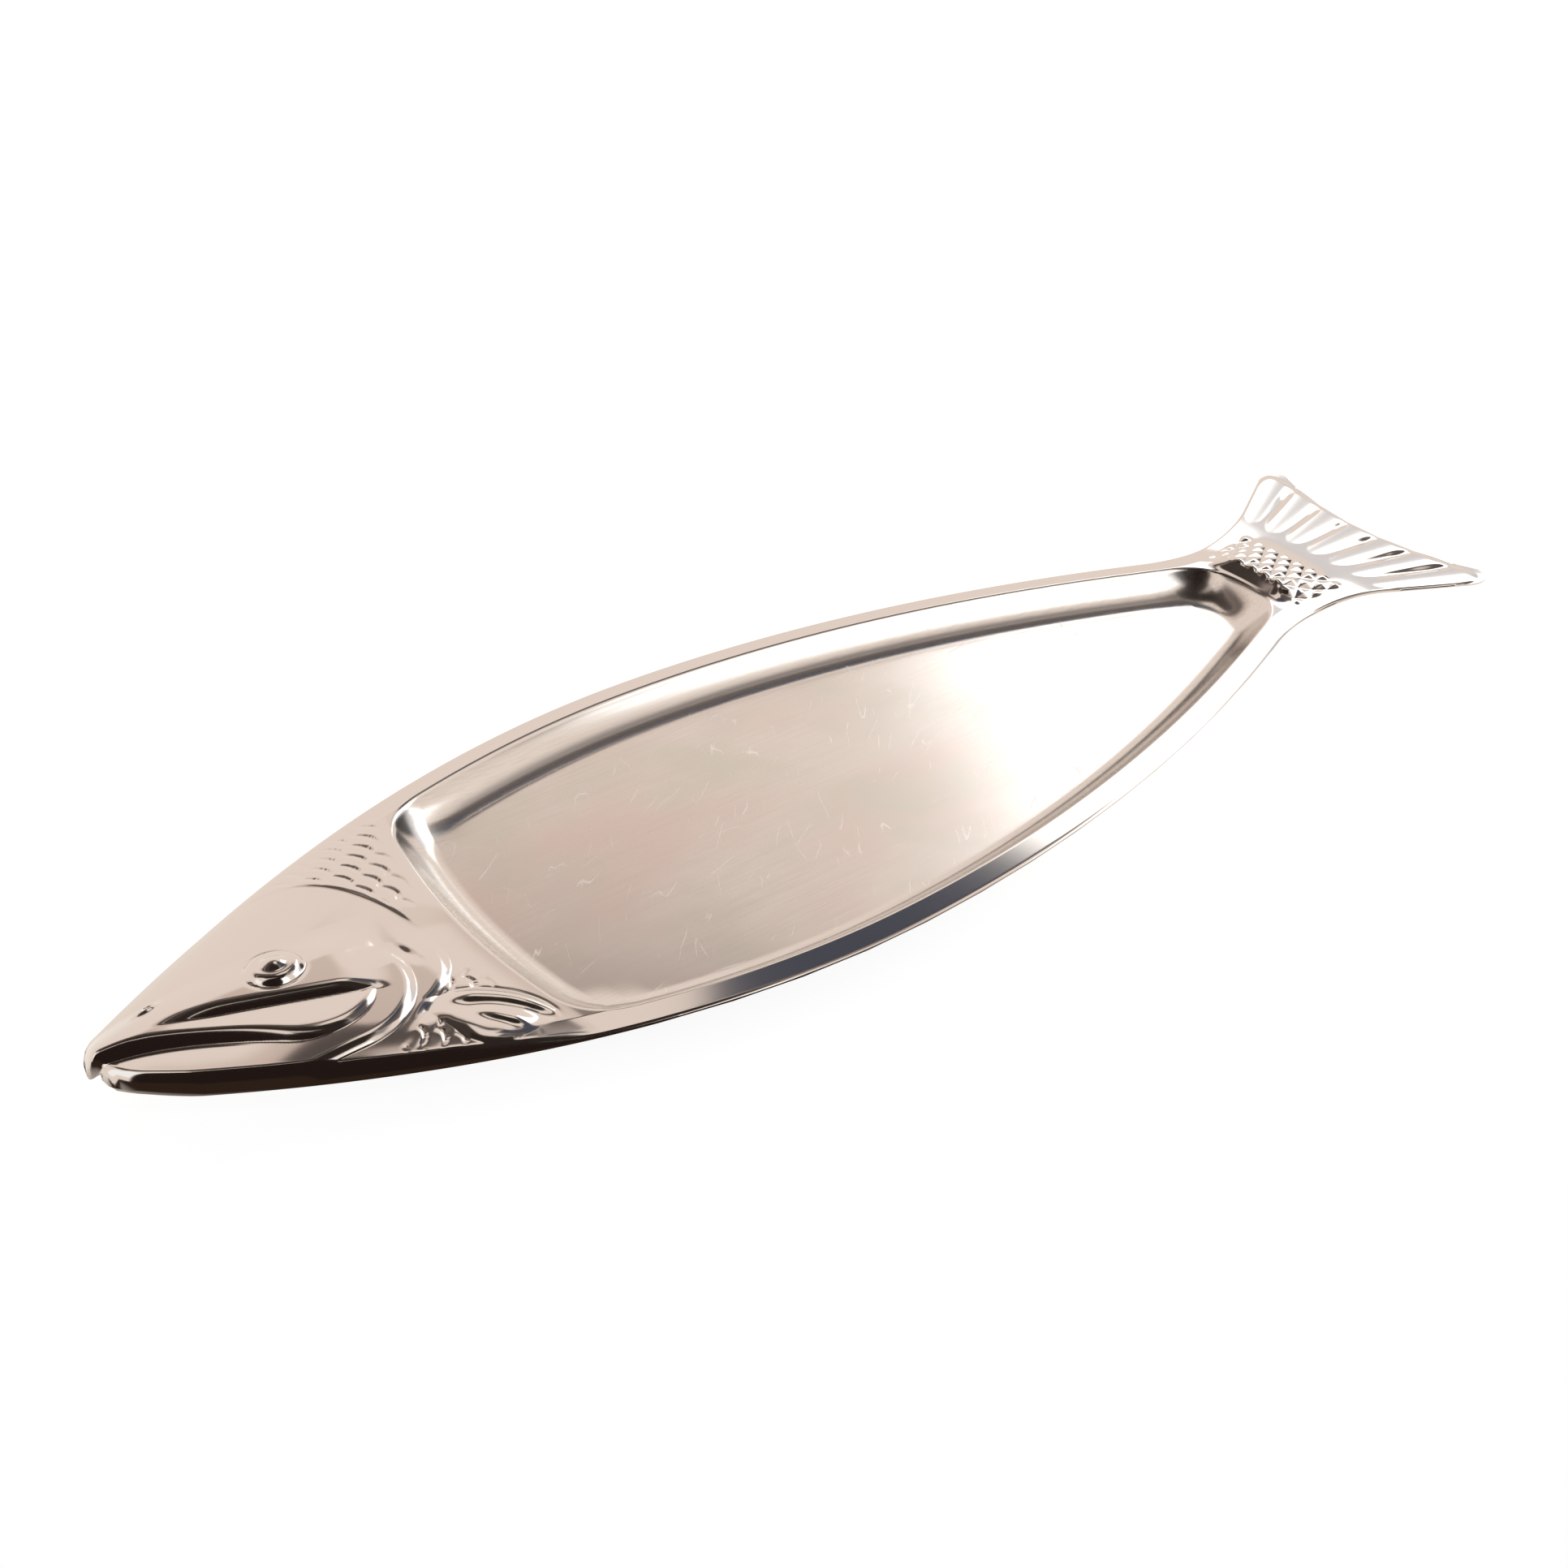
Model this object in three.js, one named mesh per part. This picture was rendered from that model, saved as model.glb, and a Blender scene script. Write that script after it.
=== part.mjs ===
// Fish-shaped serving platter, pressed from a single sheet of stainless steel.
// The press die is written as the height of the sheet's upper face over its plan. Inside this file
// x runs from the snout to the tail, y to the fish's back and z up from the tray floor, in mm.
import * as THREE from 'three';

// Sheet and outline, with places along the fish measured from the snout or from the tail tips
const SHEET = 0.9; // thickness of the steel
const LENGTH = 650; // snout to tail tips
const BODY_WIDTH = 205; // across the widest part of the body
const WIDEST_AT = 268; // snout to the widest part
const SNOUT_WIDTH = 24; // across the blunt front, before its corners are rounded
const SNOUT_RADIUS = 9; // rounding of those corners
const CROWN_FULLER = 1.5; // how much wider the snout is on its back side
const CROWN_TAPER = 60; // length over which that dies out
const JAW_NARROWER = 3.4; // how much narrower the snout is on its belly side
const JAW_NARROWER_TAPER = 26; // length over which that dies out
const SIDE_BLEND = 16; // width of the strip along the middle where the two sides meet
const JAW_SET_BACK = 3; // how far the jaw's tip lies behind the nose
const JAW_TAPER = 30; // length over which that dies out
const NOTCH_Y = -1; // the mouth's end in the outline, between nose and jaw
const NOTCH_DEPTH = 0.8;
const NOTCH_WIDTH = 1.4; // half width
const NOSE_BLEND = 2.5; // strip above the notch in which the nose begins to fall back
const JAW_BLEND = 1; // strip below it in which the jaw reaches its full set-back
const HEAD_FULLNESS = 1.95; // power of the flank's curve ahead of the widest part
const BODY_FULLNESS = 1.9; // power of the flank's curve behind it
const WAIST_WIDTH = 73; // across the narrow part ahead of the tail
const WAIST_TO_TIP = 79; // narrow part to the tail tips
const WAIST_BLEND = 40; // how softly the body runs into the tail there
const TAIL_WIDTH = 140; // across the tail tips, before they are rounded
const TAIL_TIP_RADIUS = 8; // rounding of the tail tips
const TAIL_HOLLOW = 12; // how far the middle of the rear edge lies ahead of the tips

// Rim and tray
const RIM_WIDTH = 10; // flat border round the tray
const RIM_HEIGHT = 11.5; // tray floor to the rim's inner edge
const RIM_FALL = 1.2; // fall of the rim from its inner to its outer edge
const LIP_RUN = 2; // width of the turned-down outer edge
const LIP_DROP = 0.6; // how far that edge turns down
const WALL_RUN = 17; // width of the curved wall from the rim to the floor
const TRAY_START = 140.5; // snout to the tray's head end
const TRAY_START_RADIUS = 300; // bow of the tray's head end
const TRAY_END_TO_TIP = 93; // tray's tail end to the tail tips
const TRAY_END_RADIUS = 40; // bow of the tray's tail end
const TRAY_CORNER_RADIUS = 14; // rounding of the tray's corners

// Head: a dome on the back side, and level terraces on the belly side that end in a steep flank
const CROWN_RISE = 8.4; // crown of the head above the rim
const CROWN_RUN = 40; // back edge of the head to its crown
const CROWN_FALL = 110; // length over which the crown sinks to the rim ahead of the tray
const RIDGE_Y = 9; // middle of the strip where the two sides melt together
const RIDGE_WIDTH = 20;
const BELLY_RISE = 1.6; // belly side behind the gill cover, above the rim
const BELLY_RUN = 4.2; // width of the flank
const BELLY_FALL = 16; // length over which the belly side sinks to the rim ahead of the tray
const STEP_FOOT = 0.12; // soft foot of a struck step, as a share of its width

// Mouth and lower jaw: the mouth bends down from the snout, and the jaw tilts towards it
const MOUTH_X = 3; // front end of the mouth
const MOUTH_Y = -1.5;
const MOUTH_SLOPE = -0.16; // where it starts
const MOUTH_BEND = -0.0062; // growth of the slope
const MOUTH_DEPTH = 2.2;
const JAW_WIDTH = 17;
const JAW_END = 40; // where the mouth's hollow begins to run out
const JAW_END_RUN = 44;

// Upper lip: a leaf between the mouth and the cheek, with a round rear end
const LEAF_RISE = 1.8; // along the mouth
const LEAF_FACE = 5; // width of the step up from the mouth
const LEAF_END_X = 76; // centre of the round rear end
const LEAF_END_Y = -14;
const LEAF_END_RADIUS = 21.6;
const LEAF_END_FACE = 3.4;
const LEAF_LEVEL_SHARE = 0.15; // share of the leaf's width, from the mouth, that stays level
const BEHIND_LEAF = 0.4; // level behind the rear end
const CHEEK_X = 27; // front end of the step from the lip up to the cheek
const CHEEK_Y = 0.5;
const CHEEK_ANGLE = -19; // degrees
const CHEEK_LENGTH = 68;
const CHEEK_LEAD = 6; // the step begins to grow this far ahead of its front end
const CHEEK_GROWTH = 28; // and is whole after this length
const CHEEK_END_RUN = 20; // length over which the cheek sinks at its rear end
const CHEEK_FOOT = 0.6; // leaf at the foot of the step
const CHEEK_TOP = 3.2; // cheek above the step
const CHEEK_FACE = 5; // width of the step

// Eye and nostril
const EYE_X = 70.5;
const EYE_Y = 4;
const EYE_DIAMETER = 21.5;
const EYE_RISE = 2;
const EYE_FLANK = 3.4;
const PUPIL_DIAMETER = 11.2;
const PUPIL_RISE = 2;
const NOSTRIL_X = 26;
const NOSTRIL_Y = 13.5;
const NOSTRIL_LENGTH = 11;
const NOSTRIL_WIDTH = 5;
const NOSTRIL_RISE = 1;

// Gill: two steps down, at the round edge of the cheek plate and at the gill cover's free edge
const STEPS_FROM = -2; // the steps are faint above this line
const STEPS_WHOLE = -22; // and whole below this one
const PLATE_X = 79.5; // centre of the cheek plate's round edge
const PLATE_Y = -15;
const PLATE_RADIUS = 31.8;
const PLATE_RISE = 1.8;
const PLATE_FACE = 7;
const COVER_X = 85; // centre of the oval that the free edge follows
const COVER_Y = 3;
const COVER_LENGTH = 86;
const COVER_BACK_HEIGHT = 49; // half heights of the oval
const COVER_BELLY_HEIGHT = 58;
const COVER_CUT_X = 110.7; // straight lower end of the free edge
const COVER_CUT_Y = -37.7;
const COVER_CUT_ANGLE = 36; // degrees
const COVER_CUT_FADE = 12; // the step dies out over this width below that end
const COVER_CORNER_RADIUS = 6;
const COVER_RISE = 2.2;
const COVER_FACE = 7;

// Breast fin: a plate between an arc on its back side and two straighter edges on its belly side
const FIN_CIRCLE_X = 107;
const FIN_CIRCLE_Y = -68;
const FIN_CIRCLE_RADIUS = 32.5;
const FIN_ROOT_X = 105.6;
const FIN_ROOT_Y = -40.8;
const FIN_LOWER_ANGLE = -78; // degrees, from the root
const FIN_TRAILING_X = 140;
const FIN_TRAILING_Y = -69;
const FIN_TRAILING_ANGLE = -176; // degrees
const FIN_EDGE_MARGIN = 3; // rim left between the fin and the outer edge
const FIN_RISE = 2.8; // at the belly edges
const FIN_BACK_RISE = 0.6; // at the arc
const FIN_SLOPE_RUN = 14;
const FIN_FACE = 5.5;

// Scales behind the gill cover and on the tail root
const SCALE_PITCH = 11;
const SCALE_RISE = 0.7;
const SCALE_MARGIN = 8; // plain border between the scales and the tray
const PLAIN_LOW = -30; // a plain strip parts the scales of the back from those of the belly
const PLAIN_HIGH = 18;

// Tail: a scaly hump across its root, then a fan of rays
const TAIL_LIFT = 2; // tail fan above the rim
const HUMP_TO_TIP = 82; // ridge of the hump to the tail tips
const HUMP_RISE = 4;
const HUMP_FRONT = 9; // length of its steep slope to the tray
const HUMP_BACK = 30; // length of its slope to the fan
const HUMP_SHOULDER = 12; // width over which it sinks to the rim at either side
const FAN_RAYS = 8;
const FAN_RAY_DEPTH = 1.3;
const FAN_START_TO_TIP = 56; // where the rays begin
const FAN_BORDER = 7; // plain turned-down border of the tail

// Facets
const HEAD_FACET = 3.1;
const TAIL_FACET = 3.6;
const BODY_SECTIONS = 12;
const FAN_FACETS_PER_RAY = 4;

const { clamp, degToRad, lerp, smoothstep } = THREE.MathUtils;

const trayEnd = LENGTH - TRAY_END_TO_TIP;
const waistAt = LENGTH - WAIST_TO_TIP;
const rearMiddle = LENGTH - TAIL_HOLLOW;

// The smaller of two lengths, with the corner between them rounded to a radius
function roundedMin(a, b, radius) {
  const blend = 4 * (1 - Math.SQRT1_2) * radius;
  const share = Math.max(blend - Math.abs(a - b), 0) / blend;
  return Math.min(a, b) - share * share * blend / 4;
}

// A quarter round that climbs from 0 at t = 0 to 1 at t = 1
function shoulder(t) {
  return 1 - (1 - clamp(t, 0, 1)) ** 2;
}

// Rise of a struck step: a crisp foot near 0, then a rounded shoulder that ends at run
function face(distance, run) {
  return shoulder((distance / run + STEP_FOOT) / (1 + STEP_FOOT));
}

// Half width of the fish at x, with sharp corners at the snout and the tail tips
function flank(x) {
  const half = BODY_WIDTH / 2;
  const front = clamp(1 - x / WIDEST_AT, 0, 1) ** HEAD_FULLNESS;
  const core = WAIST_WIDTH / 2 - WAIST_BLEND / 4;
  const back = Math.max((x - WIDEST_AT) / (waistAt - WIDEST_AT), 0) ** BODY_FULLNESS;
  const body = half - (half - SNOUT_WIDTH / 2) * front - (half - core) * back;
  const tail = core + (TAIL_WIDTH / 2 - core) * (x - waistAt) / WAIST_TO_TIP;
  const share = Math.max(WAIST_BLEND - Math.abs(body - tail), 0) / WAIST_BLEND;
  return Math.max(body, tail) + share * share * WAIST_BLEND / 4;
}

// How much wider the snout is on one side, with 1 for the back side and 0 for the belly side
function sideShift(x, towardsBack) {
  const crown = CROWN_FULLER * clamp(1 - x / CROWN_TAPER, 0, 1);
  const jaw = -JAW_NARROWER * clamp(1 - x / JAW_NARROWER_TAPER, 0, 1);
  return clamp(2 * x / SNOUT_RADIUS, 0, 1) * lerp(jaw, crown, towardsBack);
}

// Half width of one side with those corners rounded
function halfWidth(x, towardsBack) {
  const cut = (radius, distance) => radius - Math.sqrt(radius ** 2 - clamp(radius - distance, 0, radius) ** 2);
  return flank(x) - cut(SNOUT_RADIUS, x) - cut(TAIL_TIP_RADIUS, LENGTH - x) + sideShift(x, towardsBack);
}

// How far the front outline lies behind the nose: at the jaw, and a little more in the notch of the mouth
function jawSetBack(x, y) {
  const jaw = JAW_SET_BACK * smoothstep(NOTCH_Y - y, -NOSE_BLEND, JAW_BLEND);
  const notch = NOTCH_DEPTH * Math.exp(-(((y - NOTCH_Y) / NOTCH_WIDTH) ** 2));
  return (jaw + notch) * clamp(1 - x / JAW_TAPER, 0, 1) ** 2;
}

// Rear edge of the tail, hollow in the middle
function rearEdge(y) {
  return rearMiddle + TAIL_HOLLOW * (2 * y / TAIL_WIDTH) ** 2;
}

// Distance in from the nearest outer edge
function edgeDistance(x, y) {
  const unset = x - jawSetBack(x, y);
  const slope = (flank(unset + 1) - flank(unset - 1)) / 2;
  const towardsBack = clamp(0.5 + y / SIDE_BLEND, 0, 1);
  const side = (flank(unset) + sideShift(unset, towardsBack) - Math.abs(y)) / Math.hypot(1, slope);
  return roundedMin(roundedMin(side, unset, SNOUT_RADIUS), rearEdge(y) - unset, TAIL_TIP_RADIUS);
}

function trayStartLine(y) {
  return TRAY_START + y ** 2 / (2 * TRAY_START_RADIUS);
}

function trayEndLine(y) {
  return trayEnd - y ** 2 / (2 * TRAY_END_RADIUS);
}

// Distance in from the tray's upper edge, negative outside the tray
function trayDistance(x, y) {
  const side = edgeDistance(x, y) - RIM_WIDTH;
  const headEnd = x - trayStartLine(y);
  const tailEnd = trayEndLine(y) - x;
  return roundedMin(roundedMin(side, headEnd, TRAY_CORNER_RADIUS), tailEnd, TRAY_CORNER_RADIUS);
}

// Rim with its turned-down lip, and the tray sunk into it
function rimAndTray(x, y) {
  const edge = edgeDistance(x, y);
  const fall = RIM_FALL * clamp(1 - edge / RIM_WIDTH, 0, 1);
  const lip = LIP_DROP * clamp(1 - edge / LIP_RUN, 0, 1) ** 2;
  return RIM_HEIGHT * (1 - shoulder(trayDistance(x, y) / WALL_RUN)) - fall - lip;
}

// Place of a point along a line and to its left, for a line from a start at an angle in degrees
function alongLine(x, y, startX, startY, angle) {
  const turn = degToRad(angle);
  const dx = x - startX;
  const dy = y - startY;
  return {
    along: dx * Math.cos(turn) + dy * Math.sin(turn),
    left: dy * Math.cos(turn) - dx * Math.sin(turn),
  };
}

// Levels of the lower jaw, the leaf of the upper lip and the cheek
function jawLipAndCheek(x, y) {
  const fromTip = x - MOUTH_X;
  const mouthY = MOUTH_Y + MOUTH_SLOPE * fromTip + MOUTH_BEND * fromTip ** 2;
  const aboveMouth = (y - mouthY) / Math.hypot(1, MOUTH_SLOPE + 2 * MOUTH_BEND * fromTip);
  const fromEnd = Math.hypot(Math.max(x - LEAF_END_X, 0), Math.min(y - LEAF_END_Y, 0));
  const inside = roundedMin(aboveMouth, LEAF_END_RADIUS - fromEnd, LEAF_FACE);
  const cheek = alongLine(x, y, CHEEK_X, CHEEK_Y, CHEEK_ANGLE);
  const stepped = smoothstep(cheek.along, -CHEEK_LEAD, CHEEK_GROWTH - CHEEK_LEAD);
  const foot = lerp(LEAF_RISE, CHEEK_FOOT, stepped);

  if (cheek.left > -STEP_FOOT * CHEEK_FACE) {
    const upper = lerp(foot, lerp(LEAF_RISE, CHEEK_TOP, stepped), face(cheek.left, CHEEK_FACE));
    const sinkFrom = CHEEK_LENGTH + CHEEK_LEAD * 2 - CHEEK_END_RUN;
    return lerp(upper, BEHIND_LEAF, smoothstep(cheek.along, sinkFrom, sinkFrom + CHEEK_END_RUN));
  }
  const hollow = MOUTH_DEPTH * (1 - smoothstep(x, JAW_END, JAW_END + JAW_END_RUN));
  const jaw = BEHIND_LEAF * smoothstep(x, CHEEK_X, LEAF_END_X) - hollow * clamp(1 + inside / JAW_WIDTH, 0, 1);
  const onLeaf = Math.max(inside, 0);
  const leaf = lerp(LEAF_RISE, foot, smoothstep(onLeaf / (onLeaf - cheek.left), LEAF_LEVEL_SHARE, 1));
  const run = lerp(LEAF_FACE, LEAF_END_FACE, smoothstep(x, LEAF_END_X, LEAF_END_X + LEAF_END_RADIUS));
  return lerp(jaw, leaf, face(inside, run));
}

// Distance in from the free edge of the gill cover
function coverDistance(x, y) {
  const half = COVER_LENGTH / 2;
  const halfHeight = y > COVER_Y ? COVER_BACK_HEIGHT : COVER_BELLY_HEIGHT;
  const oval = half * (1 - Math.hypot(Math.max(x - COVER_X, 0) / half, (y - COVER_Y) / halfHeight));
  const aboveCut = alongLine(x, y, COVER_CUT_X, COVER_CUT_Y, COVER_CUT_ANGLE).left;
  return roundedMin(oval, aboveCut, COVER_CORNER_RADIUS);
}

// Cheek plate and gill cover: steps on the belly side that turn into gentle slopes towards the crown
function gillLevels(x, y) {
  const stepped = 1 - smoothstep(y, STEPS_WHOLE, STEPS_FROM);
  const fromPlateCentre = Math.hypot(Math.max(x - PLATE_X, 0), y - PLATE_Y);
  const plateSlope = 1 - smoothstep(x, PLATE_X + PLATE_RADIUS / 4, PLATE_X + PLATE_RADIUS);
  const plate = lerp(plateSlope, face(PLATE_RADIUS - fromPlateCentre, PLATE_FACE), stepped);
  const aboveFin = smoothstep(y, COVER_CUT_Y - COVER_CUT_FADE, COVER_CUT_Y);
  const coverSlope = 1 - smoothstep(x, COVER_X + COVER_LENGTH / 6, COVER_X + COVER_LENGTH / 2);
  const cover = lerp(coverSlope, face(coverDistance(x, y), COVER_FACE), stepped * aboveFin);
  return PLATE_RISE * plate + COVER_RISE * cover;
}

// The head before its small features are struck
function headDome(x, y) {
  const edge = edgeDistance(x, y);
  const ahead = trayStartLine(y) - x;
  const crown = CROWN_RISE * shoulder(edge / CROWN_RUN) * shoulder(ahead / CROWN_FALL);
  const flankShare = shoulder(edge / BELLY_RUN);
  const levels = BELLY_RISE + gillLevels(x, y) + jawLipAndCheek(x, y);
  const belly = levels * flankShare * shoulder(ahead / BELLY_FALL);
  return lerp(belly, crown, smoothstep(y, RIDGE_Y - RIDGE_WIDTH / 2, RIDGE_Y + RIDGE_WIDTH / 2));
}

// Raised disc of the eye with its pupil
function eye(x, y) {
  const reach = Math.hypot(x - EYE_X, y - EYE_Y);
  const disc = shoulder((EYE_DIAMETER / 2 - reach) / EYE_FLANK);
  const pupil = Math.sqrt(Math.max(1 - (2 * reach / PUPIL_DIAMETER) ** 2, 0));
  return EYE_RISE * disc + PUPIL_RISE * pupil;
}

// Small oval boss of the nostril
function nostril(x, y) {
  const reach = Math.hypot((x - NOSTRIL_X) / NOSTRIL_LENGTH, (y - NOSTRIL_Y) / NOSTRIL_WIDTH);
  return NOSTRIL_RISE * (1 - smoothstep(reach, 0, 0.5));
}

// Distances in from the fin's arc and from its whole outline
function finDistances(x, y) {
  const inArc = FIN_CIRCLE_RADIUS - Math.hypot(x - FIN_CIRCLE_X, y - FIN_CIRCLE_Y);
  const aboveLower = alongLine(x, y, FIN_ROOT_X, FIN_ROOT_Y, FIN_LOWER_ANGLE).left;
  const aboveTrailing = -alongLine(x, y, FIN_TRAILING_X, FIN_TRAILING_Y, FIN_TRAILING_ANGLE).left;
  const fromBelly = roundedMin(aboveTrailing, edgeDistance(x, y) - FIN_EDGE_MARGIN, FIN_EDGE_MARGIN);
  return { inArc, inside: roundedMin(roundedMin(inArc, fromBelly, FIN_EDGE_MARGIN), aboveLower, FIN_FACE) };
}

// Breast fin, which rises from its arc to its belly edges
function breastFin(x, y) {
  const { inArc, inside } = finDistances(x, y);
  const rise = lerp(FIN_BACK_RISE, FIN_RISE, smoothstep(inArc, 0, FIN_SLOPE_RUN));
  return rise * face(inside, FIN_FACE);
}

// Staggered rows of low rounded scales
function scales(x, y) {
  const turn = Math.PI / SCALE_PITCH;
  return SCALE_RISE * Math.abs(Math.cos(turn * (x + y)) * Math.cos(turn * (x - y)));
}

// Scales between the gill cover, the fin, the outer edge and the tray, in a patch on each side
function shoulderScales(x, y) {
  const fromCover = -coverDistance(x, y);
  const fromFin = -finDistances(x, y).inside;
  const fromEdge = edgeDistance(x, y) - LIP_RUN;
  const fromTray = -trayDistance(x, y);
  const fromStrip = Math.max(PLAIN_LOW - y, y - PLAIN_HIGH);
  return scales(x, y) * clamp(Math.min(fromCover, fromFin, fromEdge, fromTray, fromStrip) / SCALE_MARGIN, 0, 1);
}

// Scaly hump across the root of the tail
function tailHump(x, y) {
  const ridge = LENGTH - HUMP_TO_TIP;
  const front = smoothstep(x, ridge - HUMP_FRONT, ridge);
  const back = 1 - smoothstep(x, ridge, ridge + HUMP_BACK);
  const side = shoulder((edgeDistance(x, y) - LIP_RUN) / HUMP_SHOULDER);
  const outsideTray = shoulder(-trayDistance(x, y) / HUMP_FRONT);
  return (HUMP_RISE + scales(x, y)) * front * back * side * outsideTray;
}

// Lifted tail fan, with its rays spread evenly across the width
function tailFan(x, y) {
  const lift = TAIL_LIFT * smoothstep(x, LENGTH - HUMP_TO_TIP, LENGTH - FAN_START_TO_TIP);
  const across = (1 + y / flank(x)) / 2;
  const ray = (1 - Math.cos(2 * Math.PI * FAN_RAYS * across)) / 2;
  const strength = smoothstep(x, LENGTH - FAN_START_TO_TIP, rearMiddle);
  return lift + FAN_RAY_DEPTH * ray * strength * clamp(edgeDistance(x, y) / FAN_BORDER, 0, 1);
}

// Height of the sheet's upper face above the tray floor
function height(x, y) {
  const base = rimAndTray(x, y);
  if (trayDistance(x, y) > 0) return base;
  if (x > trayEndLine(y)) return base + tailHump(x, y) + tailFan(x, y);
  if (x > trayStartLine(y)) return base;
  const features = eye(x, y) + nostril(x, y) + breastFin(x, y) + shoulderScales(x, y);
  const settle = shoulder((trayStartLine(y) - x) / SCALE_MARGIN) * shoulder(edgeDistance(x, y) / BELLY_RUN);
  return base + headDome(x, y) + settle * features;
}

// Sheet thickness measured straight down, which grows with the slope of the wall
function upright(x, y) {
  const step = SHEET / 2;
  const slopeX = (height(x + step, y) - height(x - step, y)) / (2 * step);
  const slopeY = (height(x, y + step) - height(x, y - step)) / (2 * step);
  return SHEET * Math.min(Math.hypot(1, slopeX, slopeY), 2);
}

// Places of the cross sections along the middle line, close together where the relief is fine
function sectionPlaces() {
  const even = (from, to, facet) => {
    const count = Math.ceil((to - from) / facet);
    return Array.from({ length: count }, (_, i) => from + (to - from) * i / count);
  };
  const wall = [0, 0.06, 0.18, 0.36, 0.6, 1].map((share) => share * WALL_RUN);
  const bodyFrom = TRAY_START + WALL_RUN;
  const bodyTo = trayEnd - WALL_RUN;
  const snoutCap = [0, 0.08, 0.3].map((share) => share * SNOUT_RADIUS);
  const tailCap = [0.5, 0.75, 0.92, 1].map((share) => rearMiddle - TAIL_TIP_RADIUS * (1 - share));
  return [
    ...snoutCap,
    ...even(snoutCap.at(-1) + HEAD_FACET / 2, TRAY_START, HEAD_FACET),
    ...wall.slice(0, -1).map((run) => TRAY_START + run),
    ...even(bodyFrom, bodyTo, (bodyTo - bodyFrom) / BODY_SECTIONS),
    ...wall.toReversed().map((run) => trayEnd - run),
    ...even(trayEnd + TAIL_FACET / 2, tailCap[0], TAIL_FACET),
    ...tailCap,
  ];
}

// How far a section's ends lie behind its middle: sections bow as the tray's ends and the tail do
function sectionBow(place) {
  const startBow = flank(TRAY_START) ** 2 / (2 * TRAY_START_RADIUS);
  const endBow = -(flank(trayEnd) ** 2) / (2 * TRAY_END_RADIUS);
  if (place < TRAY_START) return startBow * place / TRAY_START;
  if (place < trayEnd) return startBow + (endBow - startBow) * (place - TRAY_START) / (trayEnd - TRAY_START);
  return endBow + (TAIL_HOLLOW - endBow) * (place - trayEnd) / (rearMiddle - trayEnd);
}

// Points across a section, from -1 at the near edge to 1 at the far edge
function sectionShares(place, half) {
  if (place >= TRAY_START && place <= trayEnd) {
    const wall = [0, 0.1, 0.25, 0.45, 0.7, 1].map((share) => RIM_WIDTH + share * WALL_RUN);
    const depths = [0, LIP_RUN / 2, LIP_RUN, RIM_WIDTH - LIP_RUN / 2, ...wall];
    const outer = depths.map((depth) => 1 - depth / half).filter((share) => share > 0);
    const floor = [outer.at(-1) / 2, 0];
    const positive = [...outer, ...floor];
    return [...positive.map((share) => -share), ...positive.slice(0, -1).toReversed()];
  }
  const evenCount = place < TRAY_START ? 2 * Math.ceil(half / HEAD_FACET) : FAN_RAYS * FAN_FACETS_PER_RAY;
  return Array.from({ length: evenCount + 1 }, (_, i) => 2 * i / evenCount - 1);
}

// The pressed sheet as one closed shell: upper face, lower face and the cut edge between them
function pressedSheet() {
  const points = [];
  const sections = sectionPlaces().map((place) => {
    const bow = sectionBow(place);
    return sectionShares(place, flank(place + bow)).map((share) => {
      const x = place + bow * share ** 2;
      const y = halfWidth(place + bow, share > 0 ? 1 : 0) * share;
      points.push(new THREE.Vector2(x + jawSetBack(x, y), y));
      return { share, index: points.length - 1 };
    });
  });

  const upper = points.map(({ x, y }) => [x - LENGTH / 2, y, SHEET + height(x, y)]);
  const lower = points.map(({ x, y }, i) => [upper[i][0], y, upper[i][2] - upright(x, y)]);
  const under = (index) => index + points.length;

  const triangles = [];
  const addFace = (a, b, c) => {
    triangles.push(a, b, c);
    triangles.push(under(a), under(c), under(b));
  };
  for (let s = 0; s < sections.length - 1; s += 1) {
    const front = sections[s];
    const back = sections[s + 1];
    let i = 0;
    let j = 0;
    while (i < front.length - 1 || j < back.length - 1) {
      const frontLeft = i < front.length - 1;
      const backLeft = j < back.length - 1;
      const frontFirst = frontLeft && (!backLeft || front[i + 1].share <= back[j + 1].share);
      addFace(front[i].index, back[j].index, frontFirst ? front[i + 1].index : back[j + 1].index);
      if (frontFirst) i += 1;
      else j += 1;
    }
  }

  const inner = sections.slice(1, -1);
  const border = [
    ...sections[0],
    ...inner.map((section) => section.at(-1)),
    ...sections.at(-1).toReversed(),
    ...inner.map((section) => section[0]).toReversed(),
  ].map((point) => point.index);
  border.forEach((a, k) => {
    const b = border[(k + 1) % border.length];
    triangles.push(a, b, under(b), a, under(b), under(a));
  });

  const geometry = new THREE.BufferGeometry();
  geometry.setAttribute('position', new THREE.Float32BufferAttribute([...upper, ...lower].flat(), 3));
  geometry.setIndex(triangles);
  geometry.computeVertexNormals();
  return geometry;
}

const steel = new THREE.MeshStandardMaterial({ color: 0xcdc6be, roughness: 0.22, metalness: 1 });
const platter = new THREE.Mesh(pressedSheet(), steel);
platter.name = 'pressed_platter';

const fishPlate = new THREE.Group();
fishPlate.add(platter);

export default fishPlate;
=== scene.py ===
import math

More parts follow.
